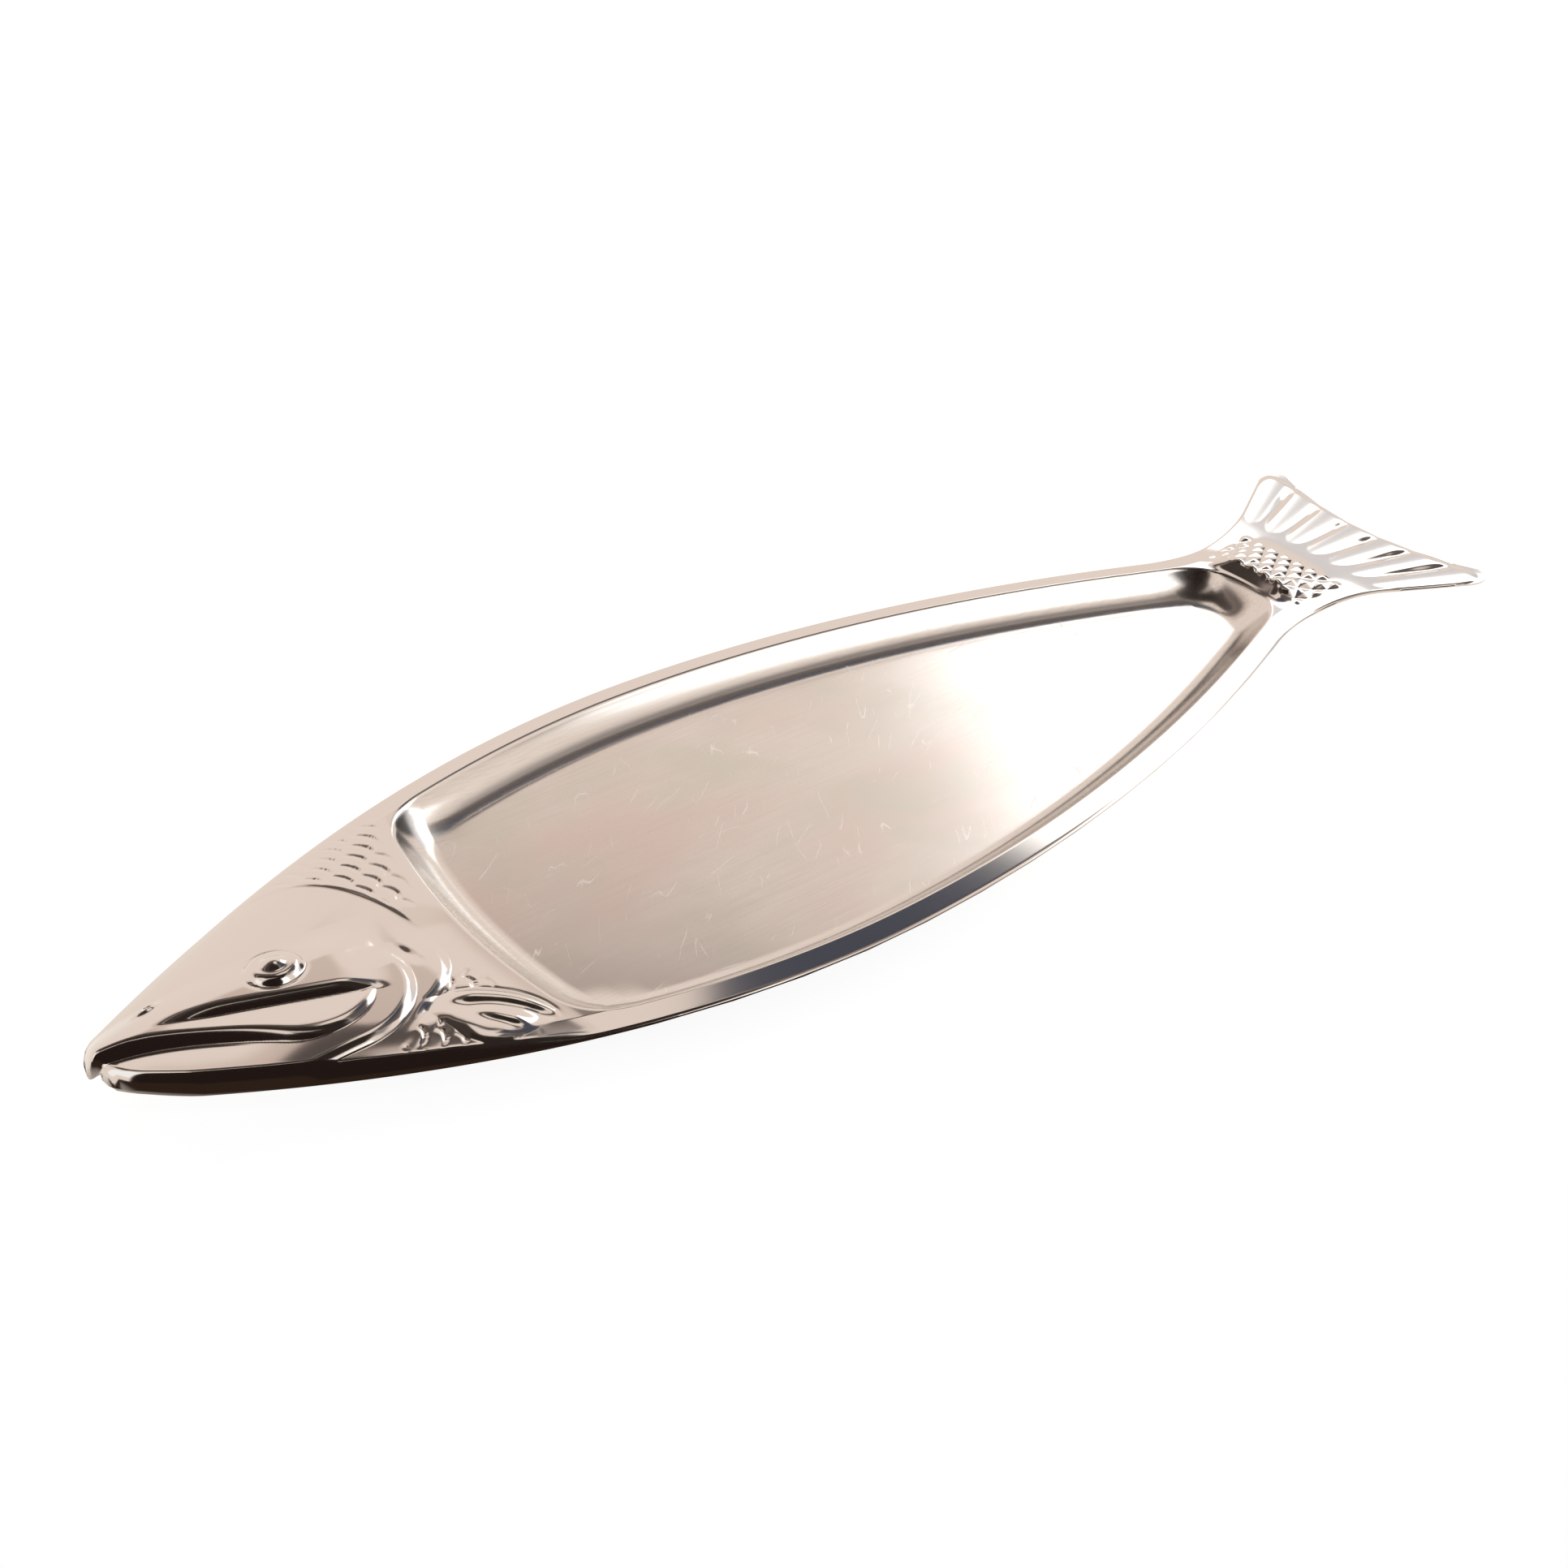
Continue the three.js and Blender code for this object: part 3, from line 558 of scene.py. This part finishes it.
def tail(x, y):
    edge = edge_distance(x, y)
    ridge = HUMP_RIDGE - y**2 / (2 * HUMP_BOW_RADIUS)
    level = TAIL_LIFT * ramp(x, ridge, FAN_START)
    foot = tray_end_line(y)
    front = ramp((x - foot) / (ridge - foot), 0, 1)
    back = 1 - ramp(x, ridge, ridge + HUMP_BACK)
    hump = HUMP_RISE * front * back * ramp(edge, HUMP_MARGIN, HUMP_MARGIN + HUMP_SHOULDER)
    tile_area = ramp(x, ridge - TAIL_SCALE_FADE, ridge)
    tile_area = tile_area * (1 - ramp(x, TAIL_SCALE_END - TAIL_SCALE_FADE, TAIL_SCALE_END))
    tile_area = tile_area * ramp(edge, TAIL_SCALE_MARGIN, TAIL_SCALE_MARGIN + TAIL_SCALE_MARGIN_RUN)
    tiles = TAIL_SCALE_RISE * pointed_scales(x - ridge, y) * tile_area
    off_middle = 1 - peak(FAN_LOBES * (1 + y / flank(x)) / 2)
    lobe = 1 - ramp(off_middle, FAN_LOBE_FLAT, 1)
    lobe = lobe + (1 - lobe) * (1 - ramp(edge, 0, FAN_BORDER))
    behind = x - FAN_START - FAN_VALLEY_DELAY * off_middle**2
    rise = rounded_max(behind / FAN_LOBE_RUN, np.zeros_like(x), FAN_START_ROUNDING)
    return level + hump + tiles + FAN_LOBE_RISE * lobe * rise


# Pressed sheet.
# The whole platter is one skin. A fine grid laid over the blank is lifted to the die's height for the
# upper face. A coarser one, the sheet's thickness below, is the lower face, and the cut edge joins them.
# The steel is polished, and satin in the tray, with scratches and smudges on the tray's floor. The scratches
# are rougher and also painted lighter, a painted glint for the light that they scatter.
MM = 0.001
SHEET = 0.9
HEAD_ROWS = 66
GILL_ROWS = 141
GILL_FROM = 62
WALL_ROWS = 24
BODY_ROWS = 39
TAIL_ROWS = 96
COLUMNS = 228
COARSER = 3
WALL_MARGIN = 2
RIM_MARGIN = 1.5
ACROSS_SHARES = (0.34, 0.68, 0.8, 0.92, 1)
BODY_BLEND = 20
BODY_BLEND_INSIDE = 4
STRUCK_FALL = 8
SLOPE_STEP = 0.5
SHEET_STEEPEST = 2
CUT_EDGE_RUN = 3
SATIN_BLEND = 2
FLOOR_BLEND = 4
SHARP_ANGLE = 60


def die_height(x, y):
    """Height of the upper face over the tray's flat floor."""
    base = rim_and_tray(x, y)
    edge = edge_distance(x, y)
    ahead = tray_start_line(y) - x
    struck = eye(x, y) + nostril(x, y) + gill_marks(x, y)
    struck = struck + breast_fin(x, y) + shoulder_scales(x, y)
    head = head_dome(x, y) + struck * shoulder(ahead / STRUCK_FALL) * shoulder(edge / EMBOSS_MARGIN)
    head = np.where(ahead > 0, head, 0)
    rear = np.where(x > tray_end_line(y), tail(x, y), 0)
    return base + np.where(tray_distance(x, y) > 0, 0, head + rear)


def section_place(share):
    """Place of a cross section along the middle line, close together where the relief is fine."""
    rows = [0, HEAD_ROWS, GILL_ROWS, WALL_ROWS, BODY_ROWS, WALL_ROWS, TAIL_ROWS]
    wall = WALL_RUN + WALL_MARGIN
    places = [0, GILL_FROM, TRAY_START, TRAY_START + wall, TRAY_END - wall, TRAY_END, REAR_MIDDLE]
    return np.interp(share * sum(rows), np.cumsum(rows), places)


def section_bow(place):
    """How far a section's ends lie behind its middle, as the tray's ends and the tail bow."""
    start_bow = flank(TRAY_START) ** 2 / (2 * TRAY_START_RADIUS)
    end_bow = -(flank(TRAY_END) ** 2) / (2 * TRAY_END_RADIUS)
    places = [0, TRAY_START, TRAY_END, REAR_MIDDLE]
    return np.interp(place, places, [0, start_bow, end_bow, TAIL_HOLLOW])


def share_on_body(share, half):
    """Spreads the columns over floor, wall, rim and lip, so that each gets enough of them."""
    wall_foot = RIM_WIDTH + WALL_RUN + WALL_MARGIN
    depths = [wall_foot, RIM_WIDTH + WALL_MARGIN, RIM_WIDTH - RIM_MARGIN, LIP_RUN, 0]
    size = np.abs(share)
    floor_part = size / ACROSS_SHARES[0] * (1 - wall_foot / half)
    outer_part = 1 - np.interp(size, ACROSS_SHARES, depths) / half
    return np.sign(share) * np.where(size < ACROSS_SHARES[0], floor_part, outer_part)


def plan_of(grid):
    """Plan position of each grid point, whose two shares run from -1 to 1."""
    place = section_place((grid[:, 0] + 1) / 2)
    bow = section_bow(place)
    half = half_width(place + bow, grid[:, 1] > 0)
    on_body = ramp(place, TRAY_START - BODY_BLEND, TRAY_START + BODY_BLEND_INSIDE)
    on_body = on_body * (1 - ramp(place, TRAY_END - BODY_BLEND_INSIDE, TRAY_END + BODY_BLEND))
    share = grid[:, 1] + on_body * (share_on_body(grid[:, 1], half) - grid[:, 1])
    x = place + bow * share**2
    y = half * share
    return x + jaw_set_back(x, y), y


def lay_grid(skin, rows, columns):
    made = bmesh.ops.create_grid(skin, x_segments=rows, y_segments=columns, size=1)["verts"]
    return made, plan_of(np.array([vertex.co for vertex in made]))


def lift(made, plan, height):
    for vertex, x, y, z in zip(made, *plan, height):
        vertex.co = ((x - LENGTH / 2) * MM, y * MM, (z + SHEET) * MM)


def outline(made, rows, columns):
    """The grid's border points in order, once round."""
    lines = np.arange(len(made)).reshape(columns + 1, rows + 1)
    ring = [*lines[0, :-1], *lines[:-1, -1], *lines[-1, :0:-1], *lines[:0:-1, 0]]
    return [made[index] for index in ring]


platter_mesh = bpy.data.meshes.new("pressed_sheet")
skin = bmesh.new()
satin = skin.verts.layers.float.new("satin")
tray_floor = skin.verts.layers.float.new("tray_floor")
all_rows = HEAD_ROWS + GILL_ROWS + WALL_ROWS + BODY_ROWS + WALL_ROWS + TAIL_ROWS
upper, upper_plan = lay_grid(skin, all_rows, COLUMNS)
lift(upper, upper_plan, die_height(*upper_plan))
for vertex, depth in zip(upper, tray_distance(*upper_plan)):
    vertex[satin] = float(np.clip(depth / SATIN_BLEND + 0.5, 0, 1))
    vertex[tray_floor] = float(ramp(depth, WALL_RUN - FLOOR_BLEND, WALL_RUN))
lower, lower_plan = lay_grid(skin, all_rows // COARSER, COLUMNS // COARSER)
lower_x, lower_y = lower_plan
along_rise = die_height(lower_x + SLOPE_STEP, lower_y) - die_height(lower_x - SLOPE_STEP, lower_y)
cross_rise = die_height(lower_x, lower_y + SLOPE_STEP) - die_height(lower_x, lower_y - SLOPE_STEP)
slope = np.hypot(along_rise, cross_rise) / (2 * SLOPE_STEP)
steepness = np.minimum(np.hypot(1, slope), SHEET_STEEPEST)
steepness = 1 + (steepness - 1) * ramp(edge_distance(*lower_plan), 0, CUT_EDGE_RUN)
lift(lower, lower_plan, die_height(*lower_plan) - SHEET * steepness)
upper_ring = outline(upper, all_rows, COLUMNS)
lower_ring = outline(lower, all_rows // COARSER, COLUMNS // COARSER)
for index, vertex in enumerate(lower_ring):
    first = index * COARSER
    edge_run = [upper_ring[(first + step) % len(upper_ring)] for step in range(COARSER + 1)]
    skin.faces.new([*edge_run, lower_ring[(index + 1) % len(lower_ring)], vertex])
bmesh.ops.recalc_face_normals(skin, faces=skin.faces)
for facet in skin.faces:
    facet.smooth = True
for edge in skin.edges:
    edge.smooth = edge.calc_face_angle(0) < math.radians(SHARP_ANGLE)
skin.to_mesh(platter_mesh)
skin.free()
platter = bpy.data.objects.new("platter", platter_mesh)
bpy.context.scene.collection.objects.link(platter)

STEEL_COLOUR = (0.72, 0.69, 0.655)
PINK_COLOUR = (0.71, 0.635, 0.6)
GREY_COLOUR = (0.66, 0.65, 0.6)
STREAK_COLOUR = (0.66, 0.62, 0.585)
# Colour of the scratches: lighter than the steel, a painted glint for the light that they scatter.
SCRATCH_GLINT_COLOUR = (0.95, 0.93, 0.91)
WALL_STREAKS = 0.7
FLOOR_STREAKS = 0.25
PATCH_LOW = 0.56
PATCH_HIGH = 0.62
POLISHED_ROUGHNESS = 0.1
SATIN_ROUGHNESS = 0.16
SCRATCH_ROUGHNESS = 0.25
BRUSH_ROUGHNESS = 0.04
steel = bpy.data.materials.new("stainless_steel")
steel.use_nodes = True
nodes = steel.node_tree.nodes
links = steel.node_tree.links
shader = nodes["Principled BSDF"]
shader.inputs["Base Color"].default_value = (*STEEL_COLOUR, 1)
shader.inputs["Metallic"].default_value = 1
on_object = nodes.new("ShaderNodeTexCoord").outputs["Object"]


def area(name):
    """A share that the mesh carries at its vertices."""
    attribute = nodes.new("ShaderNodeAttribute")
    attribute.attribute_name = name
    return attribute.outputs["Fac"]


def spots(scale, detail, stretch, turn):
    """A noise texture on the platter, drawn out by stretch along a direction turned from its length."""
    mapping = nodes.new("ShaderNodeMapping")
    mapping.vector_type = "TEXTURE"
    mapping.inputs["Rotation"].default_value = (0, 0, math.radians(turn))
    mapping.inputs["Scale"].default_value = (stretch, 1, 1)
    links.new(on_object, mapping.inputs["Vector"])
    noise = nodes.new("ShaderNodeTexNoise")
    noise.inputs["Scale"].default_value = scale
    noise.inputs["Detail"].default_value = detail
    links.new(mapping.outputs["Vector"], noise.inputs["Vector"])
    return noise.outputs["Fac"]


def spread(value, low, high, to_low=0, to_high=1):
    """Takes low to to_low and high to to_high, and stops there."""
    limits = nodes.new("ShaderNodeMapRange")
    limits.inputs["From Min"].default_value = low
    limits.inputs["From Max"].default_value = high
    limits.inputs["To Min"].default_value = to_low
    limits.inputs["To Max"].default_value = to_high
    links.new(value, limits.inputs["Value"])
    return limits.outputs["Result"]


def combine(operation, first, second):
    node = nodes.new("ShaderNodeMath")
    node.operation = operation
    for socket, value in zip(node.inputs, (first, second)):
        if isinstance(value, (int, float)):
            socket.default_value = value
        else:
            links.new(value, socket)
    return node.outputs["Value"]


def scratches(scale, stretch, turn, width, patches):
    """Thin lines that run one way, in patches: where a stretched noise crosses its middle value."""
    noise = spots(scale, detail=1, stretch=stretch, turn=turn)
    off_line = combine("ABSOLUTE", combine("SUBTRACT", noise, 0.5), 0)
    in_patch = spread(spots(patches, detail=1, stretch=1, turn=turn), PATCH_LOW, PATCH_HIGH)
    return combine("MULTIPLY", spread(off_line, 0, width, to_low=1, to_high=0), in_patch)


def tinted(colour, other, share):
    """Mixes a share of the other colour in."""
    mix = nodes.new("ShaderNodeMix")
    mix.data_type = "RGBA"
    links.new(share, mix.inputs["Factor"])
    for name, value in (("A_Color", colour), ("B_Color", other)):
        socket = next(socket for socket in mix.inputs if socket.identifier == name)
        if isinstance(value, tuple):
            socket.default_value = (*value, 1)
        else:
            links.new(value, socket)
    return next(socket for socket in mix.outputs if socket.identifier == "Result_Color")


tray_area = area("satin")
floor_area = area("tray_floor")
brush = spots(scale=900, detail=2, stretch=30, turn=0)
steep_scratch = scratches(scale=90, stretch=6, turn=58, width=0.006, patches=60)
slanted_scratch = scratches(scale=60, stretch=6, turn=40, width=0.005, patches=45)
long_scratch = scratches(scale=30, stretch=5, turn=15, width=0.003, patches=30)
scratch_and_glint = combine("MAXIMUM", steep_scratch, slanted_scratch)
scratch_and_glint = combine("MULTIPLY", combine("MAXIMUM", scratch_and_glint, long_scratch), floor_area)
pink_spots = spread(spots(scale=15, detail=3, stretch=1.6, turn=10), low=0.44, high=0.62)
grey_spots = spread(spots(scale=22, detail=3, stretch=1.4, turn=-20), low=0.46, high=0.64)
steel_colour = tinted(STEEL_COLOUR, PINK_COLOUR, combine("MULTIPLY", pink_spots, floor_area))
steel_colour = tinted(steel_colour, GREY_COLOUR, combine("MULTIPLY", grey_spots, floor_area))
streak_share = spread(floor_area, 0, 1, to_low=WALL_STREAKS, to_high=FLOOR_STREAKS)
streaks = combine("MULTIPLY", spread(brush, low=0.45, high=0.7), streak_share)
steel_colour = tinted(steel_colour, STREAK_COLOUR, combine("MULTIPLY", streaks, tray_area))
# Painted glint: the scratches are painted lighter to stand for the window light that they scatter.
steel_colour = tinted(steel_colour, SCRATCH_GLINT_COLOUR, scratch_and_glint)
links.new(steel_colour, shader.inputs["Base Color"])
roughness = spread(tray_area, 0, 1, to_low=POLISHED_ROUGHNESS, to_high=SATIN_ROUGHNESS)
roughness = combine("ADD", roughness, combine("MULTIPLY", scratch_and_glint, SCRATCH_ROUGHNESS))
brush_roughness = spread(brush, low=0.3, high=0.7, to_high=BRUSH_ROUGHNESS)
brush_roughness = combine("MULTIPLY", brush_roughness, tray_area)
links.new(combine("ADD", roughness, brush_roughness), shader.inputs["Roughness"])
platter_mesh.materials.append(steel)
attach(platter, "root")
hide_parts("pressed_platter")

# Floor.
# A plain white sheet under the platter, wide enough to fill the picture. The camera sees it white, and
# the metal mirrors it a little warmer. Only the soft shadow of the platter darkens it.
FLOOR_SIZE = 16
PAPER_GREY = 0.8
PAPER_GLOW = 1.34
PAPER_GLOW_SHARE = 0.7
PAPER_MIRRORED = (1, 0.9, 0.82)
floor_mesh = bpy.data.meshes.new("floor")
ground = bmesh.new()
bmesh.ops.create_grid(ground, x_segments=1, y_segments=1, size=FLOOR_SIZE / 2)
ground.to_mesh(floor_mesh)
ground.free()
floor = bpy.data.objects.new("floor", floor_mesh)
bpy.context.scene.collection.objects.link(floor)
paper = bpy.data.materials.new("floor_paper")
paper.use_nodes = True
paper_nodes = paper.node_tree.nodes
paper_links = paper.node_tree.links
paper_shader = paper_nodes["Principled BSDF"]
paper_shader.inputs["Base Color"].default_value = (PAPER_GREY, PAPER_GREY, PAPER_GREY, 1)
paper_shader.inputs["Roughness"].default_value = 1
paper_shader.inputs["Specular IOR Level"].default_value = 0
paper_glow = paper_nodes.new("ShaderNodeEmission")
paper_glow.inputs["Strength"].default_value = PAPER_GLOW
paper_path = paper_nodes.new("ShaderNodeLightPath")
paper_share = paper_nodes.new("ShaderNodeMath")
paper_share.operation = "MULTIPLY"
paper_share.inputs[1].default_value = PAPER_GLOW_SHARE
paper_mirrored = paper_nodes.new("ShaderNodeEmission")
paper_mirrored.inputs["Color"].default_value = (*PAPER_MIRRORED, 1)
paper_lit = paper_nodes.new("ShaderNodeMixShader")
paper_mix = paper_nodes.new("ShaderNodeMixShader")
paper_links.new(paper_path.outputs["Is Camera Ray"], paper_share.inputs[0])
paper_links.new(paper_share.outputs["Value"], paper_lit.inputs["Fac"])
paper_links.new(paper_shader.outputs["BSDF"], paper_lit.inputs[1])
paper_links.new(paper_glow.outputs["Emission"], paper_lit.inputs[2])
paper_links.new(paper_path.outputs["Is Glossy Ray"], paper_mix.inputs["Fac"])
paper_links.new(paper_lit.outputs["Shader"], paper_mix.inputs[1])
paper_links.new(paper_mirrored.outputs["Emission"], paper_mix.inputs[2])
paper_links.new(paper_mix.outputs["Shader"], paper_nodes["Material Output"].inputs["Surface"])
floor_mesh.materials.append(paper)

# Light.
# A warm pale room with curved panels that the metal mirrors: white windows at the right, front and left,
# dark panels overhead, above the far side and round the camera. Directions are in degrees, and azimuth
# turns from the tail towards the back.
WHITE = (1, 1, 1)
ROOM_COLOUR = (1.0, 0.87, 0.79)
CARD_CELLS = 48
PANEL_DISTANCE = 3
NEARER_PANEL = 2.9
FARTHER_PANEL = 3.1
TABLE_FROM = -3
TABLE_LENGTH = 3.1
TABLE_GAP = 0.07
TABLE_SKEW = 0.28
TABLE_HEIGHT = 0.0004
world = bpy.data.worlds.new("room")
world.use_nodes = True
room_nodes = world.node_tree.nodes
room_links = world.node_tree.links
room_warm = room_nodes["Background"]
room_warm.inputs["Color"].default_value = (*ROOM_COLOUR, 1)
room_white = room_nodes.new("ShaderNodeBackground")
room_white.inputs["Color"].default_value = (*WHITE, 1)
room_mix = room_nodes.new("ShaderNodeMixShader")
room_links.new(room_nodes.new("ShaderNodeLightPath").outputs["Is Camera Ray"], room_mix.inputs["Fac"])
room_links.new(room_warm.outputs["Background"], room_mix.inputs[1])
room_links.new(room_white.outputs["Background"], room_mix.inputs[2])
room_links.new(room_mix.outputs["Shader"], room_nodes["World Output"].inputs["Surface"])
bpy.context.scene.world = world


def card(name, place, colour, feather, strength=1):
    """A glowing card with soft borders, seen only by the platter; place maps its two shares to a point."""
    mesh = bpy.data.meshes.new(name)
    patch = bmesh.new()
    fullness = patch.verts.layers.float.new("fullness")
    bmesh.ops.create_grid(patch, x_segments=CARD_CELLS, y_segments=CARD_CELLS, size=1)
    for vertex in patch.verts:
        inset = 1 - max(abs(vertex.co.x), abs(vertex.co.y))
        vertex[fullness] = float(ramp(inset, 0, feather))
        vertex.co = place((vertex.co.x + 1) / 2, (vertex.co.y + 1) / 2)
    patch.to_mesh(mesh)
    patch.free()
    made = bpy.data.objects.new(name, mesh)
    bpy.context.scene.collection.objects.link(made)
    made.visible_camera = False
    made.visible_shadow = False
    paint = bpy.data.materials.new(name)
    paint.use_nodes = True
    tree = paint.node_tree
    glow = tree.nodes.new("ShaderNodeEmission")
    glow.inputs["Color"].default_value = (*colour, 1)
    glow.inputs["Strength"].default_value = strength
    clear = tree.nodes.new("ShaderNodeBsdfTransparent")
    border = tree.nodes.new("ShaderNodeAttribute")
    border.attribute_name = "fullness"
    mix = tree.nodes.new("ShaderNodeMixShader")
    tree.links.new(border.outputs["Fac"], mix.inputs["Fac"])
    tree.links.new(clear.outputs["BSDF"], mix.inputs[1])
    tree.links.new(glow.outputs["Emission"], mix.inputs[2])
    tree.links.new(mix.outputs["Shader"], tree.nodes["Material Output"].inputs["Surface"])
    mesh.materials.append(paint)


def curved(azimuths, elevations, distance=PANEL_DISTANCE, lean=0):
    """A place on a sphere round the platter; lean turns the panel's top against its foot."""
    def place(across, up):
        turn = math.radians(azimuths[0] + (azimuths[1] - azimuths[0]) * across + lean * (up - 0.5))
        rise = math.radians(elevations[0] + (elevations[1] - elevations[0]) * up)
        level = math.cos(rise) * distance
        return (math.cos(turn) * level, math.sin(turn) * level, math.sin(rise) * distance)
    return place


def before_belly(across, up):
    """A place on the table in front of the belly, up to a slanting line beside the platter."""
    x = TABLE_FROM + TABLE_LENGTH * across
    far_side = -TABLE_GAP - TABLE_SKEW * x
    return (x, TABLE_FROM + (far_side - TABLE_FROM) * up, TABLE_HEIGHT)


card("window_right", curved((-24, 46), (25, 44.5), lean=-14), WHITE, feather=0.06, strength=2.2)
card("window_front", curved((-82, -52), (36, 64)), WHITE, feather=0.12, strength=2)
card("dark_front", curved((-97, -46), (-8, 36)), (0.05, 0.035, 0.03), feather=0.12)
card("window_left", curved((158, 190), (8, 50)), WHITE, feather=0.2, strength=1.2)
card("dark_right", curved((-46, 26), (1, 25), lean=-6), (0.06, 0.055, 0.055), feather=0.1)
card("grey_right", curved((-10, 39), (22, 30.3), NEARER_PANEL), (0.86, 0.83, 0.85), feather=0.15)
card("shade_corner", curved((-40, 14), (52, 76), NEARER_PANEL), (0.3, 0.27, 0.26), feather=0.9)
card("dark_ceiling", curved((47, 150), (42, 51)), (0.1, 0.08, 0.075), feather=0.2)
card("shade_ceiling", curved((48, 150), (34, 56), FARTHER_PANEL), (0.78, 0.63, 0.56), feather=0.5)
card("dark_back", curved((68, 150), (50, 80)), (0.06, 0.045, 0.04), feather=0.2)
card("dark_corner", curved((25, 52), (44.5, 59)), (0.075, 0.08, 0.11), feather=0.12)
card("dark_upper_corner", curved((0, 46), (45, 69), FARTHER_PANEL), (0.14, 0.115, 0.105), feather=0.2)
card("dark_camera_side", curved((-172, -80), (-8, 78), NEARER_PANEL), (0.02, 0.012, 0.01), feather=0.08)
card("dark_overhead", curved((-190, 170), (68, 90)), (0.03, 0.022, 0.018), feather=0.1)
card("dark_table", before_belly, (0.035, 0.02, 0.014), feather=0.01)

# Camera.
# It stands over the belly side of the head and looks along the fish, as in the photograph.
CAMERA_AZIMUTH = -36.7
CAMERA_ELEVATION = 35.03
CAMERA_DISTANCE = 0.86704
AIM_BEHIND_SNOUT = 0.29857
AIM_TOWARDS_BACK = 0.01065
SENSOR_WIDTH = 36
FOCAL_PIXELS = 2600
PHOTO_PIXELS = 1932
camera_data = bpy.data.cameras.new("camera")
camera_data.sensor_width = SENSOR_WIDTH
camera_data.lens = SENSOR_WIDTH * FOCAL_PIXELS / PHOTO_PIXELS
camera = bpy.data.objects.new("camera", camera_data)
bpy.context.scene.collection.objects.link(camera)
azimuth = math.radians(CAMERA_AZIMUTH)
elevation = math.radians(CAMERA_ELEVATION)
level = math.cos(elevation)
from_aim = Vector((math.sin(azimuth) * level, -math.cos(azimuth) * level, math.sin(elevation)))
aim = Vector((AIM_BEHIND_SNOUT - LENGTH * MM / 2, AIM_TOWARDS_BACK, SHEET * MM))
camera.location = aim + from_aim * CAMERA_DISTANCE
camera.rotation_euler = (-from_aim).to_track_quat("-Z", "Y").to_euler()
bpy.context.scene.camera = camera
bpy.context.scene.view_settings.view_transform = "Standard"
